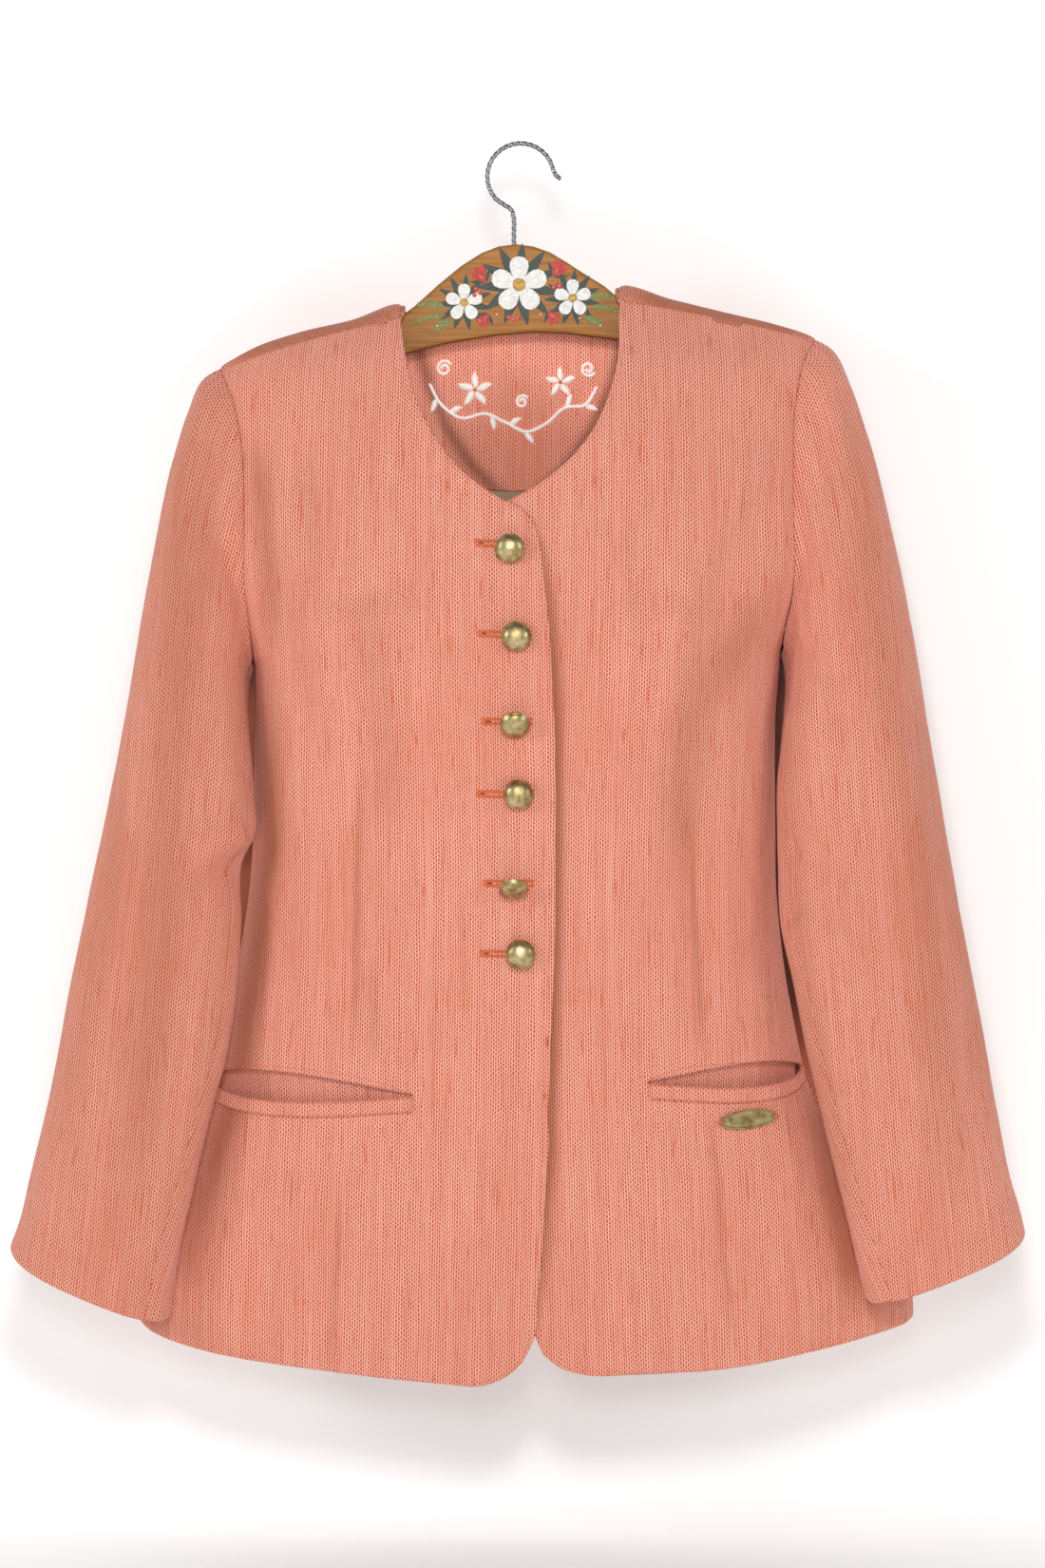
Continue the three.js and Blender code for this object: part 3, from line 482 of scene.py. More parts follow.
# Points read at places along axis 0 of a smooth curve through values; lengths are the gaps between its knots
def alongCurve(values, lengths, places):
    count = len(values)
    gaps = np.maximum(lengths, 1e-7)[..., None]
    chords = np.diff(values, axis=0) / gaps
    slopes = np.empty_like(values)
    slopes[0], slopes[-1] = chords[0], chords[-1]
    slopes[1:-1] = (chords[:-1] * gaps[1:] + chords[1:] * gaps[:-1]) / (gaps[:-1] + gaps[1:])
    made = []
    for place in places:
        i = min(int(place), count - 2)
        t = place - i
        made.append(
            (2 * t ** 3 - 3 * t * t + 1) * values[i] + (3 * t * t - 2 * t ** 3) * values[i + 1]
            + (t ** 3 - 2 * t * t + t) * gaps[i] * slopes[i] + (t ** 3 - t * t) * gaps[i] * slopes[i + 1]
        )
    return np.array(made)


# Quads of a grid of points, without the cells that are left open
def gridFaces(rows, columns, isOpen):
    faces = []
    for r in range(rows - 1):
        for c in range(columns - 1):
            if not isOpen(r, c):
                i = r * columns + c
                faces.append((i, i + 1, i + columns + 1, i + columns))
    return faces


def newObject(name, points, faces):
    mesh = bpy.data.meshes.new(name)
    mesh.from_pydata(points, [], faces)
    made = bpy.data.objects.new(name, mesh)
    scene.collection.objects.link(made)
    return made


def pick(piece):
    bpy.ops.object.select_all(action="DESELECT")
    piece.select_set(True)
    bpy.context.view_layer.objects.active = piece


# Flat layout of a grid in metres, as its cut piece lies, with the warp upright
def flatLayout(points, holes):
    rows, columns = points.shape[:2]
    faces = gridFaces(rows, columns, lambda row, column: (row, column) in holes)
    piece = newObject("layout", points.reshape(-1, 3).tolist(), faces)
    piece.data.uv_layers.new(name="cut")
    pick(piece)
    bpy.ops.object.mode_set(mode="EDIT")
    bpy.ops.mesh.select_all(action="SELECT")
    bpy.ops.uv.unwrap(method="ANGLE_BASED", margin=0.0)
    bpy.ops.object.mode_set(mode="OBJECT")
    flat = np.zeros((rows * columns, 2))
    layer = piece.data.uv_layers["cut"].data
    realArea, flatArea = 0.0, 0.0
    for face in piece.data.polygons:
        corners = []
        for loop in face.loop_indices:
            flat[piece.data.loops[loop].vertex_index] = layer[loop].uv
            corners.append(Vector(layer[loop].uv).to_3d())
        realArea += face.area
        flatArea += (corners[2] - corners[0]).cross(corners[3] - corners[1]).length / 2
    bpy.data.objects.remove(piece)
    flat = (flat - flat.mean(0)) * math.sqrt(realArea / flatArea)
    heights = points.reshape(-1, 3)[:, 2]
    slope = np.linalg.lstsq(np.c_[flat, np.ones(len(flat))], heights, rcond=None)[0][:2]
    angle = math.pi / 2 - math.atan2(slope[1], slope[0])
    turn = np.array([[math.cos(angle), -math.sin(angle)], [math.sin(angle), math.cos(angle)]])
    return (flat @ turn.T).reshape(rows, columns, 2), realArea


# Extra rows of points beside the borders, and how far in from them the even rows start
nearBorder = {"rows": (0.7 * mm, 1.6 * mm, 2.8 * mm), "clear": 4.2 * mm}


# Places along one side of a grid: about one step apart, closer beside the borders
def finePlaces(lengths, step):
    places = []
    last = len(lengths) - 1
    for i, length in enumerate(lengths):
        count = max(1, round(length / step))
        inner = [k / count for k in range(count)]
        if i == 0:
            inner = [t for t in inner if t * length > nearBorder["clear"]]
            inner = [0] + [d / length for d in nearBorder["rows"]] + inner
        if i == last:
            inner = [t for t in inner if (1 - t) * length > nearBorder["clear"]]
            inner += [1 - d / length for d in reversed(nearBorder["rows"])]
        places += [i + t for t in inner]
    return places + [len(lengths)]


# Nearest distance to a line of points in the XZ plane, and how far along it that is, from 0 to 1
def nearLine(x, z, line):
    line = np.array(line, float)
    lengths = np.linalg.norm(np.diff(line, axis=0), axis=1)
    total = lengths.sum()
    best = np.full(x.shape, 1e9)
    along = np.zeros(x.shape)
    passed = 0.0
    for (ax, az), (bx, bz), length in zip(line[:-1], line[1:], lengths):
        t = np.clip(((x - ax) * (bx - ax) + (z - az) * (bz - az)) / length ** 2, 0, 1)
        gap = np.hypot(x - ax - t * (bx - ax), z - az - t * (bz - az))
        closer = gap < best
        along = np.where(closer, (passed + t * length) / total, along)
        best = np.minimum(best, gap)
        passed += length
    return best, along


# Sum of soft ridges and troughs; each has a line, a half width and a height, below zero for a trough
def foldHeights(x, z, folds):
    height = np.zeros(x.shape)
    for laid in folds:
        gap, along = nearLine(x, z, laid["line"])
        start, stop = laid["fade"]
        rise = np.clip(along / start, 0, 1) * np.clip((1 - along) / stop, 0, 1)
        rise = rise * rise * (3 - 2 * rise)
        height += laid["height"] * rise * np.exp(-((gap / laid["width"]) ** 2))
    return height


# Soft unevenness of the cloth: size of the bumps, height and seed
crumple = [(0.045, 0.5 * mm, 3.7), (0.017, 0.16 * mm, 9.1)]


def softNoise(points):
    return sum(
        height * np.array([noise.noise(Vector(p) / size + Vector((seed, 0, 0))) for p in points])
        for size, height, seed in crumple
    )


def gapsAlong(points, axis):
    return np.linalg.norm(np.diff(points, axis=axis), axis=2)


# 0 at start, and 1 from start + length on
def ramp(values, start, length):
    return np.clip((values - start) / length, 0, 1)


# Pushes the sides of a cloth out behind the sleeves, between these depths and levels and beside the middle
sidePush = {"depth": (0, 9, 60, -40), "level": (-730, 90, -315, -50), "middle": (100, 50)}


def pushSides(surface, reach):
    x, y, z = (surface[..., k] for k in range(3))
    share = ramp(np.abs(x), *(s * mm for s in sidePush["middle"]))
    for values, key in ((y, "depth"), (z, "level")):
        start, rise, stop, fall = (s * mm for s in sidePush[key])
        share = share * ramp(values, start, rise) * ramp(values, stop, fall)
    surface[..., 0] += np.sign(x) * reach * share


clothSheets = {}


# Edge points of a border of a made cloth, close together, and the direction from each into the cloth
def borderOf(name, border):
    points = clothSheets[name]["points"]
    edge, inner = {
        "start": (points[:, 0], points[:, 4]), "end": (points[:, -1], points[:, -5]),
        "first": (points[0], points[4]), "last": (points[-1], points[-5]),
    }[border]
    shares = np.linspace(0, 1, 6, endpoint=False)[:, None, None]
    close, within = ((line[:-1] * (1 - shares) + line[1:] * shares).reshape(-1, 3) for line in (edge, inner))
    inward = within - close
    return close, inward / np.linalg.norm(inward, axis=1, keepdims=True)


# A border that is sewn to others is drawn up to their edges and just under them, and its cloth follows
sewn = {"under": 0.6 * mm, "follows": 16 * mm}


def drawUp(surface, border, near, others):
    edges, inwards = (np.concatenate(part) for part in zip(*(borderOf(*other) for other in others)))
    turned = surface.swapaxes(0, 1)
    lines = {"start": turned, "end": turned[::-1], "first": surface, "last": surface[::-1]}[border]
    before = lines[0].copy()
    nearest = [int(np.argmin(((edges - p) ** 2).sum(1))) for p in before]
    shift = edges[nearest] + inwards[nearest] * sewn["under"] - before
    shift *= (np.linalg.norm(shift, axis=1) < near)[:, None]
    travelled = np.zeros(len(before))
    for line in lines:
        travelled += np.linalg.norm(line - before, axis=1)
        before = line.copy()
        line += shift * (np.clip(1 - travelled / sewn["follows"], 0, 1) ** 2)[:, None]


# Painted shading of each point: a painted shade all over, below zero painted light, and marks of painted
# shade that fade out at both ends
def paintedShadingOf(x, z, shade, marks):
    tone = np.full(x.shape, shade)
    for laid in marks:
        gap, along = nearLine(x, z, laid["line"])
        weight = np.clip(np.minimum(along, 1 - along) / 0.2, 0, 1) * np.exp(-((gap / laid["width"]) ** 2))
        tone = np.maximum(tone, shade + (laid["strength"] - shade) * weight)
    return tone


# A mesh of a cloth's outer side, with its flat layout as a UV map, its painted shading as the tone
# attribute, and its faces turned outward
def clothPiece(name, placed, faces, layout, tone, normal):
    piece = newObject(name, placed.reshape(-1, 3).tolist(), faces)
    mesh = piece.data
    owners = np.zeros(len(mesh.loops), int)
    mesh.loops.foreach_get("vertex_index", owners)
    mesh.uv_layers.new(name="cut").data.foreach_set("uv", layout.reshape(-1, 2)[owners].ravel())
    mesh.attributes.new("tone", "FLOAT", "POINT").data.foreach_set("value", tone.ravel())
    bm = bmesh.new()
    bm.from_mesh(mesh)
    bmesh.ops.delete(bm, geom=[v for v in bm.verts if not v.link_faces], context="VERTS")
    bm.normal_update()
    bm.faces.ensure_lookup_table()
    middle = len(bm.faces) // 2
    wayOut = normal.reshape(-1, 3)[faces[middle][0]]
    if bm.faces[middle].normal.dot(Vector(wayOut)) < 0:
        bmesh.ops.reverse_faces(bm, faces=bm.faces)
    bm.to_mesh(mesh)
    bm.free()
    mesh.polygons.foreach_set("use_smooth", [True] * len(mesh.polygons))
    return piece


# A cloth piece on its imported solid: folds, rolled borders, thickness and the flat layout as its UV map
def makeCloth(
    name, node, thick, corners, step, borders, folds,
    paintedShades=(), shade=0.0, meets=None, reach=0.0, finish="weave", wall=1.7 * mm,
):
    points, outward, holes = clothGrid(node, thick, *corners)
    rows, columns = points.shape[:2]
    flat, area = flatLayout(points, holes)
    placesAcross = finePlaces(gapsAlong(points, 1).max(0), step)
    placesDown = finePlaces(gapsAlong(points, 0).max(1), step)
    gapsDown = gapsAlong(points, 0)
    gapsAcross = gapsAlong(alongCurve(points, gapsDown, placesDown), 1)

    def spread(values):
        lines = alongCurve(values, gapsDown, placesDown)
        return alongCurve(lines.swapaxes(0, 1), gapsAcross.T, placesAcross).swapaxes(0, 1)

    def isOpen(row, column):
        cellRow = min(int(placesDown[row] + 1e-9), rows - 2)
        return (cellRow, min(int(placesAcross[column] + 1e-9), columns - 2)) in holes

    surface = spread(points)
    if reach:
        pushSides(surface, reach)
    for border, (near, *others) in (meets or {}).items():
        drawUp(surface, border, near, others)
    normal = np.cross(np.gradient(surface, axis=1), np.gradient(surface, axis=0))
    normal /= np.maximum(np.linalg.norm(normal, axis=2, keepdims=True), 1e-12)
    if (normal * spread(outward)).sum() < 0:
        normal = -normal
    fromStart = np.pad(np.cumsum(gapsAlong(surface, 1), axis=1), ((0, 0), (1, 0)))
    fromFirst = np.pad(np.cumsum(gapsAlong(surface, 0), axis=0), ((1, 0), (0, 0)))
    gaps = {
        "start": fromStart, "end": fromStart[:, -1:] - fromStart,
        "first": fromFirst, "last": fromFirst[-1:, :] - fromFirst,
    }
    x, z = surface[..., 0], surface[..., 2]
    facing = normal[..., 1]
    height = np.zeros(x.shape)
    for side, laid in folds.items():
        share = {"all": 1.0, "front": np.clip(-facing * 2, 0, 1), "back": np.clip(facing * 2, 0, 1)}[side]
        height += foldHeights(x, z, laid) * share
    calm = np.ones(x.shape)
    for border, (depth, width) in borders.items():
        height -= depth * (1 - ramp(gaps[border], 0, width)) ** 2
        calm = np.minimum(calm, ramp(gaps[border], 0, 12 * mm))
    height += softNoise(surface.reshape(-1, 3)).reshape(x.shape) * calm
    placed = surface + normal * height[..., None]
    faces = gridFaces(*x.shape, isOpen)
    piece = clothPiece(name, placed, faces, spread(flat), paintedShadingOf(x, z, shade, paintedShades), normal)
    piece.data.materials.append(finishes[finish])
    finishPiece(piece, [("SOLIDIFY", {"thickness": wall, "offset": -1.0, "use_rim": True})])
    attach(piece, "root")
    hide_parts(node)
    width, length = (round(float(np.ptp(flat[..., k])), 3) for k in range(2))
    clothSheets[name] = {"points": placed, "normals": normal, "gaps": gaps, "piece": piece}
    print(name, "flat", width, length, "area", round(area, 4), "faces", len(piece.data.polygons))


# Adds modifiers to a piece and applies them
def finishPiece(piece, modifiers):
    pick(piece)
    for kind, settings in modifiers:
        modifier = piece.modifiers.new(kind.lower(), kind)
        for key, value in settings.items():
            setattr(modifier, key, value)
        bpy.ops.object.modifier_apply(modifier=modifier.name)
    piece.select_set(False)


# How deep a border is rolled in, and over what width
seam = (0.9 * mm, 4 * mm)
freeEdge = (0.8 * mm, 1.8 * mm)


# The cloth pieces. Lines are in millimetres, X and Z, seen from the front.
def lineOf(*points):
    return [(x * mm, z * mm) for x, z in points]


foldGain = 1.7  # how strongly every fold below stands out


def fold(height, width, *points, fade=(0.3, 0.3)):
    return {"height": height * foldGain * mm, "width": width * mm, "line": lineOf(*points), "fade": fade}


def mark(strength, width, *points):
    return {"strength": strength, "width": width * mm, "line": lineOf(*points)}


frontFolds = [
    fold(3.5, 46, (-112, -300), (-104, -345), (-104, -390)),
    fold(3.5, 46, (112, -300), (110, -345), (111, -390)),
    fold(-2.6, 13, (187, -205), (160, -250), (136, -290), (118, -350), (113, -405)),
    fold(2.0, 15, (160, -190), (138, -240), (112, -290), (92, -345)),
    fold(1.2, 11, (188, -260), (165, -300), (140, -345)),
    fold(-1.9, 11, (-184, -255), (-160, -312), (-142, -385), (-130, -440)),
    fold(1.4, 12, (-165, -215), (-146, -270), (-128, -340)),
    fold(-1.1, 7, (-147, -195), (-143, -255), (-139, -315)),
    fold(-0.8, 6, (-60, -190), (-66, -260), (-78, -330)),
    fold(0.8, 9, (62, -250), (70, -310), (84, -380)),
    fold(-1.6, 13, (-106, -412), (-109, -489), (-110, -568), (-111, -612)),
    fold(-1.6, 13, (113, -411), (115, -482), (119, -547), (123, -611)),
    fold(-0.9, 2.4, (-106, -412), (-109, -489), (-110, -568), (-111, -612), fade=(0.1, 0.05)),
    fold(-0.9, 2.4, (113, -411), (115, -482), (119, -547), (123, -611), fade=(0.1, 0.05)),
    fold(-0.6, 2.4, (-118, -700), (-121, -738), (-124, -773), (-126, -818), fade=(0.3, 0.02)),
    fold(-0.7, 2.4, (127, -646), (132, -713), (134, -734), (138, -763), (141, -800), fade=(0.05, 0.3)),
    fold(-0.9, 5, (-150, -470), (-157, -530), (-158, -590)),
    fold(0.9, 8, (-92, -560), (-95, -600), (-97, -650)),
    fold(-0.8, 4, (-75, -637), (-70, -655), (-62, -690)),
    fold(1.0, 5, (-70, -634), (-63, -650), (-54, -676)),
    fold(2.4, 36, (-146, -680), (-140, -715), (-138, -745)),
    fold(2.2, 34, (140, -668), (142, -705), (145, -740)),
    fold(1.5, 16, (-192, -690), (-204, -745), (-214, -800), fade=(0.4, 0.02)),
    fold(-1.4, 14, (-165, -700), (-172, -750), (-178, -812), fade=(0.4, 0.02)),
    fold(1.2, 18, (-78, -690), (-80, -750), (-82, -826), fade=(0.4, 0.02)),
    fold(-1.1, 14, (-45, -700), (-46, -760), (-47, -829), fade=(0.5, 0.02)),
    fold(1.3, 17, (70, -680), (76, -750), (80, -822), fade=(0.4, 0.02)),
    fold(-1.5, 15, (182, -680), (194, -740), (204, -805), fade=(0.4, 0.02)),
    fold(1.3, 12, (214, -700), (226, -750), (236, -797), fade=(0.4, 0.02)),
    fold(-0.6, 4, (-24, -274), (-44, -279), (-62, -281)),
    fold(-0.6, 4, (-26, -334), (-48, -337), (-70, -345)),
    fold(-0.6, 5, (-24, -438), (-46, -443), (-68, -452)),
    fold(-0.7, 5, (-24, -543), (-44, -551), (-60, -566)),
    fold(-0.8, 6, (18, -585), (6, -598), (-14, -604)),
    fold(0.7, 7, (14, -300), (12, -350), (14, -400)),
    fold(-0.6, 5, (8, -450), (10, -490), (8, -530)),
]
# The top front's edge stands a little off the front below it
edgeLift = [
    fold(
        1.5, 11, (6, -262), (13.4, -277), (18, -311), (22.4, -379), (23, -475), (21, -572), (18.6, -670),
        (14.7, -732), (10, -787), fade=(0.06, 0.08),
    ),
]
backFolds = [
    fold(3.0, 48, (-100, -190), (-96, -240), (-92, -290)),
    fold(3.0, 48, (96, -180), (94, -235), (90, -290)),
    fold(-1.8, 16, (-150, -260), (-120, -330), (-104, -420), (-100, -480)),
    fold(-1.8, 16, (148, -250), (122, -325), (106, -415), (100, -478)),
    fold(-1.4, 12, (-5, -140), (-6, -260), (-4, -420), (-2, -560)),
    fold(1.3, 14, (-52, -430), (-20, -445), (22, -440), (56, -428)),
    fold(-1.2, 9, (-70, -462), (-30, -474), (18, -470), (66, -456)),
    fold(1.5, 20, (-150, -600), (-160, -690), (-170, -793), fade=(0.4, 0.02)),
    fold(-1.5, 18, (-95, -600), (-100, -700), (-104, -793), fade=(0.4, 0.02)),
    fold(1.6, 22, (-30, -580), (-30, -690), (-32, -793), fade=(0.4, 0.02)),
    fold(-1.4, 16, (45, -610), (48, -700), (52, -793), fade=(0.4, 0.02)),
    fold(1.5, 20, (120, -600), (130, -700), (140, -793), fade=(0.4, 0.02)),
    fold(-1.3, 15, (190, -640), (204, -720), (216, -790), fade=(0.4, 0.02)),
]
rightSleeveFolds = {
    "front": [
        fold(2.4, 14, (-216, -190), (-222, -240), (-228, -350), (-238, -540), (-258, -700)),
        fold(-1.5, 9, (-200, -180), (-205, -240), (-203, -300)),
        fold(-1.6, 8, (-188, -262), (-198, -285), (-216, -300)),
        fold(1.0, 7, (-186, -300), (-202, -322), (-222, -330)),
        fold(-3.2, 8, (-180, -484), (-198, -489), (-224, -503), fade=(0.02, 0.6)),
        fold(1.8, 9, (-182, -462), (-202, -468), (-226, -476), fade=(0.05, 0.5)),
        fold(-1.4, 10, (-262, -420), (-272, -500), (-284, -580)),
        fold(1.2, 12, (-250, -560), (-268, -640), (-286, -720)),
        fold(-1.2, 8, (-222, -560), (-232, -620), (-240, -690)),
        fold(-0.9, 6, (-232, -230), (-240, -300), (-252, -360)),
    ],
    "back": [
        fold(-2.0, 12, (-190, -300), (-215, -400), (-235, -520)),
        fold(1.8, 14, (-225, -300), (-245, -420), (-262, -560)),
        fold(-1.6, 9, (-200, -480), (-228, -492), (-256, -500)),
        fold(1.2, 10, (-230, -600), (-252, -680), (-268, -750)),
    ],
}
leftSleeveFolds = {
    "front": [
        fold(2.4, 15, (212, -175), (228, -285), (262, -478), (286, -700)),
        fold(-1.7, 8, (196, -165), (204, -200), (206, -245)),
        fold(-1.5, 7, (206, -150), (222, -185), (230, -235)),
        fold(1.1, 8, (184, -240), (200, -262), (214, -300)),
        fold(-1.8, 9, (178, -330), (196, -352), (222, -366)),
        fold(1.4, 10, (176, -372), (196, -396), (222, -410)),
        fold(-1.7, 9, (178, -470), (204, -482), (232, -486), fade=(0.05, 0.5)),
        fold(1.3, 9, (182, -520), (206, -532), (230, -534), fade=(0.05, 0.5)),
        fold(-1.3, 11, (266, -330), (276, -420), (284, -500)),
        fold(1.2, 12, (252, -560), (262, -640), (268, -730)),
        fold(-1.1, 8, (292, -560), (300, -640), (306, -710)),
    ],
    "back": [
        fold(-2.0, 12, (188, -290), (212, -390), (232, -510)),
        fold(1.8, 14, (222, -290), (243, -410), (260, -550)),
        fold(-1.6, 9, (198, -470), (226, -482), (254, -490)),
        fold(1.2, 10, (228, -590), (250, -670), (266, -740)),
    ],
}
# painted shade on the sleeves, in bands along the raised fold, beside the body and towards the outer side
rightSleeveShade = [
    mark(0.54, 14, (-214, -150), (-221, -240), (-229, -350), (-239, -540), (-264, -740)),
    mark(0.3, 12, (-186, -300), (-186, -420), (-190, -520), (-205, -640), (-228, -760)),
    mark(0.4, 8, (-262, -400), (-274, -500), (-290, -600), (-306, -690)),
]
leftSleeveShade = [
    mark(0.42, 16, (214, -165), (229, -285), (262, -478), (286, -720)),
    mark(0.32, 10, (178, -330), (176, -430), (186, -560), (206, -660), (226, -750)),
    mark(0.34, 12, (250, -330), (270, -430), (296, -560), (312, -680)),
]
# painted shade along the shoulder seams, and the deep painted shade of the dark gaps between the back and
# the sleeves
backShade = [
    mark(0.8, 11, (-214, -147), (-184, -138), (-150, -130), (-116, -121), (-64, -108)),
    mark(0.8, 11, (54, -97), (94, -106), (130, -114), (161, -120), (206, -130)),
    mark(
        2.2, 10, (186, -230), (179, -318), (176, -350), (174, -380), (173.5, -430), (174, -480),
        (178, -540), (188, -600), (204, -650),
    ),
    mark(
        1.15, 10, (-188, -230), (-183, -318), (-181, -350), (-181, -420), (-183, -480), (-190, -540),
        (-206, -600), (-222, -650),
    ),
]
# painted shade in creases and along the dart grooves
frontShade = [
    mark(0.3, 5, (-99, -545), (-97, -580), (-96, -615)),
    mark(0.2, 8, (-143, -200), (-140, -260), (-138, -320)),
    mark(0.45, 15, (176, -290), (161, -311), (136, -343), (112, -388), (108, -433), (110, -500)),
    mark(0.28, 12, (-104, -300), (-96, -350), (-88, -414), (-92, -470)),
    mark(0.45, 2.2, (-106, -405), (-109, -489), (-110, -568), (-111, -614)),
    mark(0.45, 2.2, (113, -405), (115, -482), (119, -547), (123, -612)),
    mark(0.4, 2.2, (-118, -690), (-121, -738), (-124, -773), (-126, -830)),
    mark(0.4, 2.2, (127, -640), (132, -713), (134, -734), (138, -763), (141, -812)),
]
# shade where a sleeve lies in front, and under the top front's edge
rightFrontShade = [
    mark(0.5, 7, (-179, -194), (-171.5, -243), (-168, -298), (-165, -350)),
    mark(
        0.85, 9, (-172, -330), (-167, -423), (-165, -465), (-170, -503), (-175, -542), (-181, -580),
        (-185, -607), (-189, -633), (-201, -670), (-213, -720), (-226, -770),
    ),
]
leftFrontShade = [
    mark(
        0.85, 4.6, (2, -240), (10, -258), (14.4, -277), (19, -311), (23.4, -379), (24, -475), (22, -572),
        (19.6, -670), (15.7, -732), (11, -800),
    ),
    mark(0.8, 9, (192, -620), (202, -670), (213, -725), (226, -790)),
]
step = {"panel": 3.1 * mm, "back": 3.41 * mm, "small": 2.6 * mm, "lining": 5.6 * mm}
plain = {"start": seam, "end": seam, "first": seam, "last": seam}
# each cloth names two corners of its grid, for clothGrid
makeCloth(
    "front_right_cloth", "front_right", 2 * mm,
    ((0.0006, -0.06, -0.814), (-0.26, 0, -0.787)), step["panel"],
    {**plain, "start": freeEdge, "first": freeEdge}, {"all": frontFolds + edgeLift},
    paintedShades=frontShade + rightFrontShade,
)
makeCloth(
    "front_left_cloth", "front_left", 2 * mm,
    ((0.015, -0.053, -0.8085), (0.267, 0, -0.787)), step["panel"],
    {**plain, "start": freeEdge, "first": freeEdge}, {"all": frontFolds},
    paintedShades=frontShade + leftFrontShade,
)
makeCloth(
    "back_cloth", "back", 2 * mm,
    ((-0.258, 0, -0.787), (0.265, 0, -0.787)), step["back"],
    {**plain, "first": freeEdge}, {"back": backFolds}, paintedShades=backShade, reach=10 * mm,
    meets={
        "start": (5 * mm, ("front_right_cloth", "end")), "end": (5 * mm, ("front_left_cloth", "end")),
        "last": (4 * mm, ("front_right_cloth", "last"), ("front_left_cloth", "last")),
    },
)
# two corners of each sleeve's grid, and a painted shade that makes the sleeve darker all over
sleeves = {
    "right": {
        "front": (-0.1815, -0.0104, -0.3471), "back": (-0.1869, 0.0185, -0.2195), "backSide": "start",
        "shade": 0.2, "folds": rightSleeveFolds, "paintedShades": rightSleeveShade,
    },
    "left": {
        "front": (0.1773, -0.0103, -0.337), "back": (0.184, 0.018, -0.2027), "backSide": "end",
        "shade": 0.08, "folds": leftSleeveFolds, "paintedShades": leftSleeveShade,
    },
}
for side, sleeve in sleeves.items():
    armhole = (7 * mm, (f"front_{side}_cloth", "end"), ("back_cloth", sleeve["backSide"]))
    upper = f"sleeve_{side}_upper_cloth"
    sewnOn = {
        "upper": {"first": armhole},
        "under": {"first": armhole, "start": (4 * mm, (upper, "end")), "end": (4 * mm, (upper, "start"))},
    }
    for part, meets in sewnOn.items():
        corners = (sleeve["front"], sleeve["back"]) if part == "upper" else (sleeve["back"], sleeve["front"])
        makeCloth(
            f"sleeve_{side}_{part}_cloth", f"sleeve_{side}_{part}", 2 * mm, corners, step["panel"],
            {**plain, "last": freeEdge}, sleeve["folds"],
            paintedShades=sleeve["paintedShades"], shade=sleeve["shade"], meets=meets,
        )
# painted shadow of the fronts' neck edges on the facing, which painted light makes lighter as a whole
facingShade = [
    mark(0.6, 5, (-78, -100), (-70, -132), (-62, -160), (-50, -188), (-34, -212), (-16, -230), (10, -246)),
    mark(0.55, 4.5, (74, -100), (68, -132), (62, -158), (50, -186), (34, -210), (16, -228), (-10, -246)),
]
# wall of the imported piece, two corners of its grid, its marks of painted shade, and its painted shade all
# over, which below zero is painted light
trims = {
    "pocket_welt_right": (1.6, (-0.0723, -0.062, -0.6372), (-0.21, -0.0106, -0.6255), (), 0.0),
    "pocket_welt_left": (1.6, (0.0856, -0.06, -0.6287), (0.1897, -0.0093, -0.6196), (), 0.0),
    "pocket_bag_right": (1.2, (-0.0721, -0.0591, -0.6282), (-0.2062, -0.0032, -0.6174), (), 0.0),
    "pocket_bag_left": (1.2, (0.0852, -0.0558, -0.6197), (0.1848, -0.0028, -0.6117), (), 0.0),
    "back_neck_facing": (1.2, (-0.1493, 0.0126, -0.1483), (0.141, 0.0125, -0.1359), facingShade, -1.0),
}
soft = (0.3 * mm, 1.5 * mm)
for node, (thick, first, last, paintedShades, shade) in trims.items():
    makeCloth(
        node + "_cloth", node, thick * mm, (first, last), step["small"],
        {border: soft for border in plain}, {}, wall=1.1 * mm, paintedShades=paintedShades, shade=shade,
    )
liningFolds = [
    fold(-2.4, 5, (-18, -236), (-14, -262), (-12, -300)),
    fold(2.0, 5, (-6, -236), (-5, -270), (-4, -320)),
    fold(-2.2, 4, (6, -236), (5, -262), (4, -300)),
    fold(1.8, 6, (20, -236), (16, -280), (14, -330)),
    fold(-1.8, 9, (-80, -200), (-70, -330), (-60, -480)),
    fold(1.8, 10, (70, -200), (60, -330), (50, -480)),
]
makeCloth(
    "back_lining_cloth", "back_lining", 1.2 * mm,
    ((-0.2256, 0.0255, -0.7683), (0.2325, 0.0254, -0.7683)), step["lining"],
    {}, {"all": liningFolds}, finish="satin", wall=0.9 * mm,
)
print("cloth made")


# Hard pieces
def settle(piece, slot, *nodes):
    if piece.name not in scene.collection.objects:
        scene.collection.objects.link(piece)
    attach(piece, "root")
    if nodes:
        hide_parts(*nodes)


# Moves a shape made at the origin to its place for good: its base point, and where its X, Y and Z go
def setDown(piece, base, *axes):
    piece.data.transform(Matrix.Translation(base) @ Matrix(axes).transposed().to_4x4())
    piece.matrix_world = Matrix.Identity(4)
    piece.data.update()


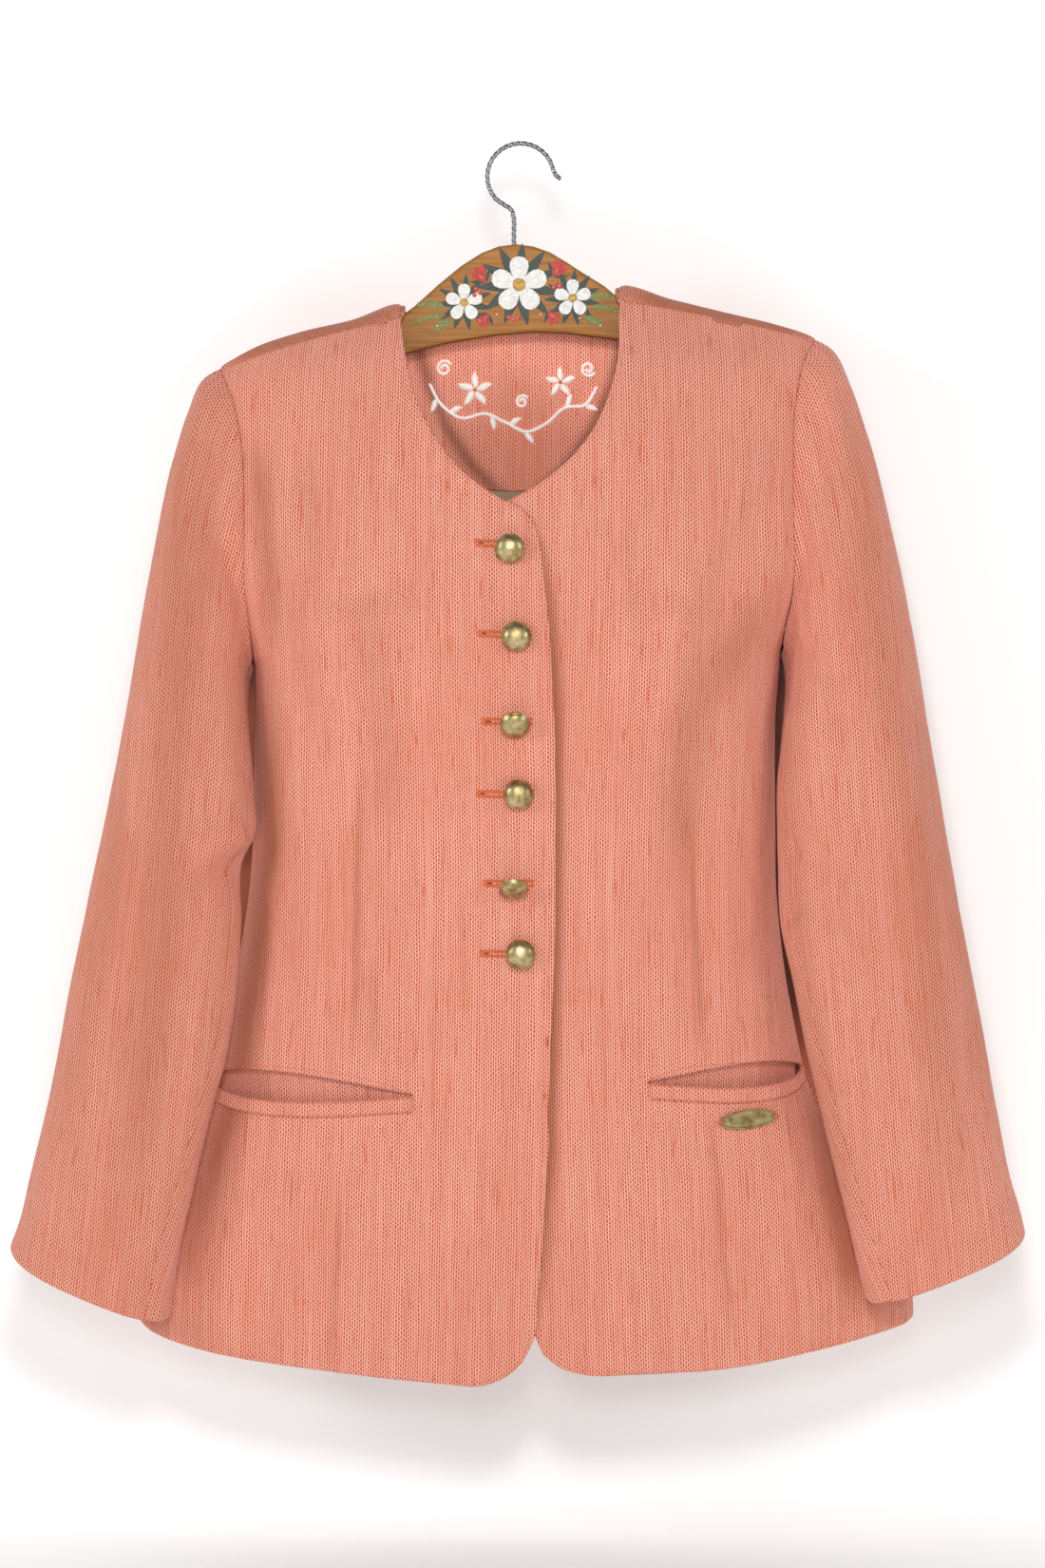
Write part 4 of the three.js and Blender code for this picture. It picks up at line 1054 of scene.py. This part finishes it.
# A filled circle or oval, shaped step by step in edit mode
def shapedDisc(name, vertices, radius, height, scale, shapeIt):
    bpy.ops.object.select_all(action="DESELECT")
    place = (0, 0, height)
    bpy.ops.mesh.primitive_circle_add(vertices=vertices, radius=radius, fill_type="NGON", location=place)
    piece = bpy.context.active_object
    piece.name = name
    piece.data.name = name
    piece.scale = (*scale, 1)
    bpy.ops.object.transform_apply(location=True, rotation=True, scale=True)
    bpy.ops.object.mode_set(mode="EDIT")
    bpy.ops.mesh.select_all(action="SELECT")
    shapeIt()
    bpy.ops.mesh.select_all(action="SELECT")
    bpy.ops.mesh.normals_make_consistent(inside=False)
    bpy.ops.object.mode_set(mode="OBJECT")
    return piece


# Middle of the face, long direction and face direction of a packed flat piece, its face towards -Y
def flatFrame(node):
    places = np.array([v.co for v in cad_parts[node].data.vertices])
    around = np.unique(np.round(places, 6), axis=0)
    axes = np.linalg.svd(around - around.mean(0), full_matrices=False)[2]
    face = Vector(axes[2]) if axes[2][1] < 0 else -Vector(axes[2])
    long = Vector(axes[0]) if axes[0][0] > 0 else -Vector(axes[0])
    reach = max(Vector(p).dot(face) for p in around)
    middle = Vector(around.mean(0))
    return middle + face * (reach - middle.dot(face)), long, face


# Domed shank buttons, turned from the shank's end: each ring is a radius and a height
button = {
    "rings": [
        (1.1, -3.4), (1.5, -3.3), (1.6, -2.6), (1.4, -1.4), (2.2, -0.9), (6.0, -0.75), (9.0, -0.35),
        (9.75, -0.15), (10.0, 0.25), (9.9, 0.7), (9.45, 1.15), (9.1, 1.35), (8.9, 1.75), (8.2, 2.5),
        (7.2, 3.25), (5.9, 3.9), (4.4, 4.4), (2.9, 4.7), (1.4, 4.87), (0.4, 4.9),
    ],
    "segments": 48,
    "count": 6,
    "tilt": 0.2,  # how differently each button is turned
}
rings = [(radius * mm, height * mm) for radius, height in button["rings"]]


def turnButton():
    for (radius, height), (wider, higher) in zip(rings[:-1], rings[1:]):
        bpy.ops.mesh.extrude_region_move(TRANSFORM_OT_translate={"value": (0, 0, higher - height)})
        share = wider / radius
        bpy.ops.transform.resize(value=(share, share, 1), center_override=(0, 0, higher))


for number in range(1, button["count"] + 1):
    node = f"button_{number}"
    crown, long, face = flatFrame(node)
    dome = shapedDisc(f"{node}_dome", button["segments"], rings[0][0], rings[0][1], (1, 1), turnButton)
    sideways = face.cross(Vector((1, 0, button["tilt"] * number))).normalized()
    setDown(dome, crown - face * rings[-1][1], sideways.cross(face), sideways, face)
    dome.data.materials.append(finishes["brass"])
    finishPiece(dome, [("SUBSURF", {"levels": 1, "render_levels": 1})])
    pick(dome)
    bpy.ops.object.shade_smooth()
    settle(dome, "antique_brass", node)
print("buttons made")

# Oval plate with a raised rim and a hole at each end
oval = {
    "length": 41, "height": 12.8, "thick": 1.3, "bevel": 0.35, "crown": 0.25, "rim": 1.1, "sunk": 0.45,
    "hole": 1.15, "holeAt": 17.1,
}


def shapePlate():
    bpy.ops.mesh.extrude_region_move(TRANSFORM_OT_translate={"value": (0, 0, oval["thick"] * mm)})
    bpy.ops.mesh.inset(thickness=oval["bevel"] * mm)
    bpy.ops.transform.translate(value=(0, 0, oval["crown"] * mm))
    bpy.ops.mesh.inset(thickness=oval["rim"] * mm * 0.6)
    bpy.ops.mesh.inset(thickness=oval["rim"] * mm * 0.4)
    bpy.ops.transform.translate(value=(0, 0, -oval["sunk"] * mm))


front, long, face = flatFrame("oval_plate")
short = face.cross(long).normalized()
plateSize = (oval["length"] * mm, oval["height"] * mm)
plate = shapedDisc("oval_plate_rimmed", 72, 0.5, 0, plateSize, shapePlate)
for side in (-1, 1):
    bpy.ops.object.select_all(action="DESELECT")
    place = (side * oval["holeAt"] * mm, 0, 0)
    bpy.ops.mesh.primitive_cylinder_add(vertices=24, radius=oval["hole"] * mm, depth=8 * mm, location=place)
    drill = bpy.context.active_object
    finishPiece(plate, [("BOOLEAN", {"operation": "DIFFERENCE", "object": drill, "solver": "EXACT"})])
    bpy.data.objects.remove(drill)
setDown(plate, front - face * (oval["thick"] + oval["crown"]) * mm, long, short, face)
plate.data.materials.append(finishes["brass"])
pick(plate)
bpy.ops.object.shade_smooth_by_angle(angle=math.radians(35))
settle(plate, "antique_brass", "oval_plate")
print("plate made")


# Gathers many small tubes or strokes into one mesh
class Gathered:
    def __init__(self):
        self.points, self.faces = [], []

    # a closed tube through rings of as many points each
    def tube(self, rings):
        base, sides = len(self.points), len(rings[0])
        for ring in rings:
            self.points += ring
        for r in range(len(rings) - 1):
            for k in range(sides):
                a, b = base + r * sides + k, base + r * sides + (k + 1) % sides
                self.faces.append((a, b, b + sides, a + sides))
        top = base + (len(rings) - 1) * sides
        self.faces.append(tuple(base + k for k in reversed(range(sides))))
        self.faces.append(tuple(top + k for k in range(sides)))

    def piece(self, name, finish, slot, *nodes, smoothed=True, turnedOut=False):
        made = newObject(name, [tuple(p) for p in self.points], self.faces)
        made.data.polygons.foreach_set("use_smooth", [smoothed] * len(self.faces))
        if turnedOut:
            bm = bmesh.new()
            bm.from_mesh(made.data)
            bmesh.ops.recalc_face_normals(bm, faces=bm.faces)
            bm.to_mesh(made.data)
            bm.free()
        made.data.materials.append(finishes[finish])
        settle(made, slot, *nodes)


def ringOf(centre, side, other, radius, sides):
    angles = [2 * math.pi * k / sides for k in range(sides)]
    return [centre + (side * math.cos(a) + other * math.sin(a)) * radius for a in angles]


# Threads: short rods with rounded ends, and longer lines
stitchEnds = ((0.0, 0.2), (0.15, 0.9), (0.85, 0.9), (1.0, 0.2))  # place along a rod, share of its radius
rodEnds = ((0.0, 0.35), (0.12, 0.85), (0.5, 1.0), (0.88, 0.85), (1.0, 0.35))


class Threads(Gathered):
    def rod(self, start, end, radius, sides=6, ends=rodEnds):
        start, end = Vector(start), Vector(end)
        along = (end - start).normalized()
        side = along.orthogonal().normalized()
        other = along.cross(side)
        self.tube([ringOf(start.lerp(end, t), side, other, radius * share, sides) for t, share in ends])

    def path(self, points, radius, sides=6):
        last = len(points) - 1
        rings, side = [], None
        for i, point in enumerate(points):
            ahead = (Vector(points[min(i + 1, last)]) - Vector(points[max(i - 1, 0)])).normalized()
            side = ahead.orthogonal() if side is None else side - ahead * side.dot(ahead)
            side = side.normalized()
            end = radius * (0.5 if i in (0, last) else 1.0)
            rings.append(ringOf(Vector(point), side, ahead.cross(side), end, sides))
        self.tube(rings)


def surfaceOf(name):
    mesh = clothSheets[name]["piece"].data
    corners = [tuple(face.vertices) for face in mesh.polygons]
    return BVHTree.FromPolygons([v.co.copy() for v in mesh.vertices], corners)


# The point of a cloth's front at x, z in millimetres, seen from the front, lifted off it by rise
def onCloth(tree, x, z, rise=0.0):
    hit, normal, index, gap = tree.ray_cast(Vector((x * mm, -0.4, z * mm)), Vector((0, 1, 0)))
    if hit is None:
        return None
    normal = -normal if normal.y > 0 else normal
    return hit + normal * rise * mm


def onClothLine(tree, line, rise):
    placed = [onCloth(tree, x, z, rise) for x, z in line]
    return [p for p in placed if p]


# The place some way off from x, z, at an angle from the X axis
def away(x, z, reach, angle):
    return x + reach * math.cos(angle), z + reach * math.sin(angle)


frontSurfaces = {name: surfaceOf(name) for name in ("front_right_cloth", "front_left_cloth")}
topFront = frontSurfaces["front_right_cloth"]

# Buttonholes: a dark slit of painted shade, thread laid across along both sides, and a bar at the outer end
buttonhole = {
    "height": 5.4, "apart": 0.7, "thread": 0.36, "inside": 0.45, "wobble": 0.18,
    "bar": 0.9, "barThreads": (-1.9, -0.95, 0, 0.95, 1.9),
    "slit": 0.42, "slitFrom": 1.6, "slitStep": 0.5, "slitPoints": 8,
    "places": [  # outer end x, inner end x, z at the outer end, z at the inner end
        (-29.5, -14.0, -270.5, -271.5), (-27.5, -11.5, -330.5, -331.5), (-25.0, 8.0, -388.6, -388.6),
        (-28.5, -11.0, -436.2, -436.8), (-24.0, 9.0, -495.5, -495.5), (-26.0, -8.5, -541.8, -542.2),
    ],
}
# bars beside the front edge: x, z and height, and how far apart their threads lie
edgeBars = {"places": [(18.8, -600.5, 6.2), (17.2, -636.5, 4.0)], "apart": 0.8, "from": -2.2, "to": -0.2}
orange = Threads()
slits = Threads()


def layThread(start, end):
    if start and end:
        orange.rod(start, end, buttonhole["thread"] * mm)


for outer, inner, zOuter, zInner in buttonhole["places"]:
    count = max(6, round((inner - outer) / buttonhole["apart"]))
    for i in range(count + 1):
        t = i / count
        x, z = outer + t * (inner - outer), zOuter + t * (zInner - zOuter)
        for side in (-1, 1):
            half = buttonhole["height"] / 2 + buttonhole["wobble"] * math.sin(7.3 * i + 2.1 * side)
            layThread(
                onCloth(topFront, x, z + side * buttonhole["inside"], 0.1),
                onCloth(topFront, x, z + side * half, 0.05),
            )
    for level in buttonhole["barThreads"]:
        layThread(*(onCloth(topFront, outer + s * buttonhole["bar"], zOuter + level, 0.15) for s in (-1, 1)))
    slitFrom = outer + buttonhole["slitFrom"]
    line = [(slitFrom + buttonhole["slitStep"] * k, zOuter) for k in range(buttonhole["slitPoints"])]
    slits.path(onClothLine(topFront, line, 0.02), buttonhole["slit"] * mm)
for x, z, height in edgeBars["places"]:
    for k in range(round(height / edgeBars["apart"])):
        level = z + height / 2 - k * edgeBars["apart"]
        layThread(*(onCloth(topFront, x + edgeBars[end], level, 0.2) for end in ("from", "to")))
# thread that holds the plate: three turns through each hole and over the end, in millimetres
plateThread = {"radius": 0.34, "turns": (-0.45, 0.0, 0.45), "spread": 1.4, "past": 0.7}
for side in (-1, 1):
    for turned in plateThread["turns"]:
        hole = front + long * side * oval["holeAt"] * mm + short * turned * mm
        rim = front + long * side * (oval["length"] / 2 + plateThread["past"]) * mm
        rim += short * turned * plateThread["spread"] * mm
        orange.path([
            hole - face * 1.2 * mm, hole + face * 0.1 * mm, hole.lerp(rim, 0.45) + face * 0.6 * mm,
            rim - face * 0.1 * mm, rim - face * 1.6 * mm,
        ], plateThread["radius"] * mm)
orange.piece("orange_thread_work", "orangeThread", "basket_weave")
slits.piece("buttonhole_slits", "slit", "basket_weave")
print("buttonholes made")


# The line on a cloth a set distance inside a border, as points and ways out
def borderLine(name, border, inset, start=0.0, end=1.0):
    sheet = clothSheets[name]
    points, normals, gaps = sheet["points"], sheet["normals"], sheet["gaps"][border]
    if border in ("first", "last"):
        points, normals, gaps = points.swapaxes(0, 1), normals.swapaxes(0, 1), gaps.T
    if border in ("end", "last"):
        points, normals, gaps = points[:, ::-1], normals[:, ::-1], gaps[:, ::-1]
    line = []
    for r in range(int(start * (len(points) - 1)), int(end * (len(points) - 1)) + 1):
        where = np.searchsorted(gaps[r], inset)
        if 0 < where < len(gaps[r]):
            t = (inset - gaps[r][where - 1]) / (gaps[r][where] - gaps[r][where - 1])
            line.append([Vector(v[r][where - 1] * (1 - t) + v[r][where] * t) for v in (points, normals)])
    return line


# Rows of stitches along a line on the cloth, in millimetres
stitches = {
    "edge": {"length": 2.4, "gap": 0.7, "radius": 0.2, "rise": 0.05},
    "cuff": {"length": 2.0, "gap": 3.4, "radius": 0.2, "rise": 0.05},
    "mouth": {"length": 1.9, "gap": 0.5, "radius": 0.24, "rise": 0.1},
    "welt": {"length": 1.9, "gap": 0.5, "radius": 0.22, "rise": 0.05},
}


def stitchRow(box, line, kind):
    length, gap, radius, rise = (stitches[kind][key] * mm for key in ("length", "gap", "radius", "rise"))
    travelled, due = 0.0, 0.0
    ends = []
    for (a, na), (b, nb) in zip(line[:-1], line[1:]):
        span = (b - a).length
        while span > 0 and due <= travelled + span:
            t = (due - travelled) / span
            ends.append(a.lerp(b, t) + na.lerp(nb, t).normalized() * rise)
            due += length if len(ends) % 2 else gap
        travelled += span
    for start, end in zip(ends[::2], ends[1::2]):
        box.rod(start, end, radius, sides=5, ends=stitchEnds)


# how far in from the edge each row lies
inset = {"edge": 3.2 * mm, "cuff": 24 * mm, "welt": 0.9 * mm}
edgeStitches = Threads()
for name in frontSurfaces:
    stitchRow(edgeStitches, borderLine(name, "start", inset["edge"], 0.012, 1.0), "edge")
    stitchRow(edgeStitches, borderLine(name, "first", inset["edge"], 0.0, 0.22), "edge")
for side in ("right", "left"):
    for part in ("upper", "under"):
        stitchRow(edgeStitches, borderLine(f"sleeve_{side}_{part}_cloth", "last", inset["cuff"]), "cuff")
edgeStitches.piece("edge_stitches", "palePink", "basket_weave")

# Stitches above the pocket mouths and round the welts
mouths = {
    "above": 1.3,
    "front_right_cloth": [
        (-194.6, -621.1), (-187.5, -619.5), (-174.7, -618.6), (-159.0, -619.2), (-137.6, -621.1),
        (-116.5, -623.7), (-100.5, -626.9), (-87.0, -630.7), (-77.4, -635.2),
    ],
    "front_left_cloth": [
        (85.1, -626.9), (101.1, -621.1), (115.8, -617.9), (130.6, -617.3), (149.8, -616.6),
        (169.6, -615.4), (184.3, -613.4),
    ],
}
pocketStitches = Threads()
for name, surface in frontSurfaces.items():
    line = [
        (xa + (xb - xa) * k / 8, za + (zb - za) * k / 8 + mouths["above"])
        for (xa, za), (xb, zb) in zip(mouths[name][:-1], mouths[name][1:]) for k in range(8)
    ]
    row = [(place, Vector((0, -1, 0))) for place in onClothLine(surface, line, 0.0)]
    stitchRow(pocketStitches, row, "mouth")
for node in ("pocket_welt_right", "pocket_welt_left"):
    for border in ("last", "first", "start", "end"):
        stitchRow(pocketStitches, borderLine(node + "_cloth", border, inset["welt"]), "welt")
pocketStitches.piece("pocket_stitches", "orangeThread", "basket_weave")
print("stitches made")


# A smooth curve through knots in X and Z, read at places that count the knots
def throughKnots(knots, placesFor):
    knots = np.array(knots, float)
    lengths = np.linalg.norm(np.diff(knots, axis=0), axis=1)
    return alongCurve(knots[:, None, :], lengths[:, None], placesFor(lengths))[:, 0]


# Twisted wire hook, swept along its path from its free end, in millimetres
wire = {
    "radius": 1.5, "lobes": 3, "lobe": 0.13, "pitch": 4.2, "sides": 24, "step": 0.55, "tip": 1.6,
    "lead": [(27.3, -22.4), (24.9, -20.9), (22.9, -18.3)],
    "bend": [away(0, -20.8, 22.4, math.radians(angle)) for angle in range(16, 223, 6)],
    "shank": [(-10.8, -39.9), (-6.4, -42.9), (-4.6, -49), (-4.5, -58), (-4.5, -70), (-4.5, -83)],
}


def wirePlaces(lengths):
    places = []
    for i, length in enumerate(lengths):
        count = max(1, round(length / wire["step"]))
        places += [i + k / count for k in range(count)]
    return places + [len(lengths)]


route = throughKnots(wire["lead"] + wire["bend"] + wire["shank"], wirePlaces)
last = len(route) - 1
hookRings = []
travelled = 0.0
for i, (x, z) in enumerate(route):
    ahead = route[min(i + 1, last)] - route[max(i - 1, 0)]
    ahead = ahead / np.linalg.norm(ahead)
    outward = Vector((-ahead[1], 0, ahead[0]))
    travelled += float(np.linalg.norm(route[i] - route[max(i - 1, 0)]))
    toTip = 1 - min(travelled, wire["tip"]) / wire["tip"]
    full = min(1.0, math.sqrt(max(0.0, 1 - toTip ** 2)) + 0.12)
    twist = 2 * math.pi * travelled / wire["pitch"]
    ring = []
    for k in range(wire["sides"]):
        angle = 2 * math.pi * k / wire["sides"]
        radius = wire["radius"] * (1 + wire["lobe"] * math.cos(wire["lobes"] * angle - twist)) * full * mm
        way = outward * math.cos(angle) + Vector((0, 1, 0)) * math.sin(angle)
        ring.append(Vector((x, 0, z)) * mm + way * radius)
    hookRings.append(ring)
hook = Gathered()
hook.tube(hookRings)
hook.piece("twisted_hook", "chrome", "chrome_wire", "hanger_hook", turnedOut=True)
print("hook made")

# Embroidery on the neck facing: a leafy vine with two small blossoms
vine = {
    "thread": 0.5, "stem": 1.1, "curl": 0.95, "rise": 0.25,
    "path": [
        (-62, -158), (-54, -172), (-40, -181), (-24, -178), (-10, -184), (4, -190), (18, -184), (30, -174),
        (44, -172), (52, -160),
    ],
    "leaves": [0.08, 0.17, 0.38, 0.47, 0.56, 0.8, 0.9],
    "leaf": (9.5, 4.8),
    "blossoms": [(-31, -162, 11.0), (27, -157, 9.5)],
    "curls": [(-52, -148, 5.5, 1), (46, -148, 5.2, -1), (1, -170, 4.6, 1)],
}
neckFacing = surfaceOf("back_neck_facing_cloth")
white = Threads()
stem = throughKnots(vine["path"], lambda lengths: np.linspace(0, len(lengths), 90))


def sewLine(line, radius):
    white.path(onClothLine(neckFacing, line, vine["rise"]), radius * mm, sides=7)


# satin stitch: threads laid side by side across a leaf shape
def satinLeaf(x, z, angle, length, width):
    count = max(4, round(length / (vine["thread"] * 1.7)))
    slant = angle + math.radians(62)
    for k in range(count + 1):
        t = (k + 0.5) / (count + 1)
        half = width / 2 * math.sin(math.pi * t ** 0.85)
        centre = away(x, z, length * t, angle)
        ends = [onCloth(neckFacing, *away(*centre, s * half, slant), 0.28) for s in (-1, 1)]
        if all(ends) and (ends[0] - ends[1]).length > 0.3 * mm:
            middle = (ends[0] + ends[1]) / 2 + Vector((0, -0.25 * mm, 0))
            white.path([ends[0], middle, ends[1]], vine["thread"] * mm, sides=5)


sewLine(stem, vine["stem"])
for i, share in enumerate(vine["leaves"]):
    at = int(share * (len(stem) - 2))
    (x, z), (nextX, nextZ) = stem[at], stem[at + 1]
    heading = math.atan2(nextZ - z, nextX - x)
    satinLeaf(x, z, heading + math.radians(55 if i % 2 else -58), *vine["leaf"])
for x, z, size in vine["blossoms"]:
    for k in range(5):
        angle = math.radians(90 + 72 * k)
        satinLeaf(*away(x, z, 1.2, angle), angle, size, size * 0.55)
for x, z, size, way in vine["curls"]:
    sewLine([away(x, z, size * (1 - k / 44), way * (0.5 + k * 0.27)) for k in range(34)], vine["curl"])
white.piece("facing_embroidery", "whiteThread", "basket_weave")
hearts = Threads()
for x, z, size in vine["blossoms"]:
    for k in range(7):
        place = onCloth(neckFacing, *away(x, z, 0.45 * math.sqrt(k), k * 2.4), 0.55)
        if place:
            hearts.rod(place, place + Vector((0, -0.5 * mm, 0)), 0.42 * mm)
hearts.piece("embroidery_hearts", "orangeThread", "basket_weave")
print("embroidery made")


# Painted garland on the board: thin raised strokes on its front face
boardFace = -5.0


class Painting(Gathered):
    def stroke(self, outline, level, crown=0.12):
        base, count = len(self.points), len(outline)
        back, front = (boardFace + 0.05) * mm, (boardFace - level) * mm
        for y in (back, front):
            self.points += [(x * mm, y, z * mm) for x, z in outline]
        cx, cz = (sum(p[k] for p in outline) / count for k in range(2))
        self.points.append((cx * mm, front - crown * mm, cz * mm))
        turning = sum(a[0] * b[1] - b[0] * a[1] for a, b in zip(outline, outline[1:] + outline[:1]))
        for k in range(count):
            a, b = base + k, base + (k + 1) % count
            wall = (a, b, b + count, a + count)
            top = (a + count, b + count, base + 2 * count)
            self.faces += [wall, top] if turning > 0 else [wall[::-1], top[::-1]]

    # blunt 0 makes a pointed leaf, and more makes a petal that is widest near its end
    def petal(self, x, z, angle, length, width, level=0.2, blunt=0.8, steps=14):
        outline = []
        for k in range(steps):
            t = 2 * math.pi * k / steps
            u = length * (0.5 - 0.5 * math.cos(t))
            share = 0.35 + 0.65 * (u / length) ** blunt if blunt else 1.15 - 0.8 * u / length
            v = width / 2 * math.sin(t) * share
            outline.append((
                x + u * math.cos(angle) - v * math.sin(angle),
                z + u * math.sin(angle) + v * math.cos(angle),
            ))
        self.stroke(outline, level)

    def spot(self, x, z, radius, level=0.25, steps=12):
        self.stroke([away(x, z, radius, 2 * math.pi * k / steps) for k in range(steps)], level)

    def line(self, points, width, level=0.15):
        left, right = [], []
        last = len(points) - 1
        for i, (x, z) in enumerate(points):
            ax, az = points[max(i - 1, 0)]
            bx, bz = points[min(i + 1, last)]
            size = math.hypot(bx - ax, bz - az)
            half = width / 2 * (0.35 if i in (0, last) else 1)
            acrossX, acrossZ = (bz - az) / size * half, (bx - ax) / size * half
            left.append((x - acrossX, z + acrossZ))
            right.append((x + acrossX, z - acrossZ))
        for i in range(last):
            self.stroke([left[i], right[i], right[i + 1], left[i + 1]], level, crown=0.02)


garland = {
    "blossoms": [(-1, -94, 19.5), (-38, -106, 12.5), (35, -103, 12.5)],  # x, z, size
    # x, z, turn in degrees, size
    "tulips": [(-24, -92, 125, 12), (22, -88, 52, 12), (-22, -114, 238, 10), (19, -112, 305, 10)],
    "sprigs": [
        (-50, -115, 192, 22), (-50, -109, 176, 18), (46, -109, -10, 20), (45, -103, 2, 17),
        (-46, -119, 206, 12), (42, -116, -24, 12),
    ],
    "berries": [
        (-30, -97), (-27.5, -99.5), (-31, -101), (24, -93), (26.5, -95.5), (22.5, -96), (-8, -116),
        (-4.5, -117.5), (-1, -116),
    ],
    "dots": 9,
}
darkLeaves, lightLeaves, whites, reds, yellows = (Painting() for k in range(5))
for x, z, size in garland["blossoms"]:
    for k in range(11):
        angle = math.radians(20 + 360 / 11 * k)
        darkLeaves.petal(*away(x, z, 3, angle), angle, size * 1.28, size * 0.5, level=0.08, blunt=0)
    for k in range(5):
        angle = math.radians(90 + 72 * k)
        place = away(x, z, 1.2, angle)
        whites.petal(*place, angle, size * 0.92, size * 0.86, level=0.2 + 0.03 * (k % 2))
    yellows.spot(x, z, size * 0.23, level=0.42)
    for k in range(8):
        reds.spot(*away(x, z, size * 0.2, math.radians(45 * k + 10)), 0.42, level=0.5, steps=8)
for x, z, turned, size in garland["tulips"]:
    angle = math.radians(turned)
    for way in (-1, 1):
        darkLeaves.petal(x, z, angle + way * 1.0, size * 0.85, size * 0.3, level=0.08, blunt=0)
    for spread, length, level in ((-0.42, 0.95, 0.18), (0.42, 0.95, 0.18), (0, 1.02, 0.26)):
        reds.petal(x, z, angle + spread, size * length, size * 0.36, level=level, blunt=0.4)
    whites.line([away(x, z, 2.5, angle), away(x, z, 5.5, angle + 0.1)], 0.5, level=0.42)
for x, z, turned, length in garland["sprigs"]:
    angle = math.radians(turned)
    line = []
    for t in np.linspace(0, 1, 9):
        px, pz = away(x, z, length * t, angle)
        line.append((px, pz + 1.5 * math.sin(3 * t)))
    lightLeaves.line(line, 0.7)
    for k, (px, pz) in enumerate(line[1:]):
        for way in (-1, 1):
            level = 0.14 + 0.03 * way
            lightLeaves.petal(px, pz, angle + way * 0.75, 4.4 - 0.25 * k, 1.5, level=level, blunt=0)
for x, z in garland["berries"]:
    reds.spot(x, z, 1.55, level=0.3)
    whites.spot(x - 0.4, z + 0.5, 0.35, level=0.5, steps=8)
for k in range(garland["dots"]):
    x = -56 + 13.6 * k + 1.5 * math.sin(4 * k)
    z = -121.5 + 5 * math.sin(k * 0.39) + (3 if k % 2 else 0)
    whites.spot(x, z, 0.6, level=0.2, steps=8)
for box, name, finish in (
    (darkLeaves, "garland_dark_leaves", "darkLeafPaint"), (lightLeaves, "garland_sprigs", "leafPaint"),
    (whites, "garland_blossoms", "whitePaint"), (reds, "garland_tulips", "redPaint"),
    (yellows, "garland_hearts", "yellowPaint"),
):
    box.piece(name, finish, "painted_wood", smoothed=False, turnedOut=True)
print("garland made")

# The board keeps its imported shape
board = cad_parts["hanger_board"]
board.data.materials.clear()
board.data.materials.append(finishes["wood"])

# Floor and close backdrop, of one pale sheet of paper
floor = {"level": -0.95, "front": -3.5, "back": 0.1, "half": 4.0, "rise": 3.0, "radius": 0.03, "steps": 12}
profile = [(floor["front"], floor["level"])]
for k in range(floor["steps"] + 1):
    angle = math.radians(90 * k / floor["steps"])
    profile.append((
        floor["back"] - floor["radius"] + floor["radius"] * math.sin(angle),
        floor["level"] + floor["radius"] - floor["radius"] * math.cos(angle),
    ))
profile.append((floor["back"], floor["rise"]))
corners = [(s * floor["half"], y, z) for y, z in profile for s in (-1, 1)]
strips = [(2 * i, 2 * i + 1, 2 * i + 3, 2 * i + 2) for i in range(len(profile) - 1)]
backdrop = newObject("backdrop", corners, strips)
backdrop.data.polygons.foreach_set("use_smooth", [True] * len(strips))
paper, paperTree, paperSurface = newMaterial("pale paper", roughness=0.95)
paperSurface.inputs["Base Color"].default_value = (0.9, 0.9, 0.9, 1)
paperSurface.inputs["Emission Color"].default_value = (1, 1, 1, 1)
paperSurface.inputs["Emission Strength"].default_value = 0.19
# seen from behind, the paper isn't there
reverse = addNode(paperTree, "ShaderNodeNewGeometry").outputs["Backfacing"]
paperTree.links.new(minus(paperTree, 1.0, reverse), paperSurface.inputs["Alpha"])
backdrop.data.materials.append(paper)
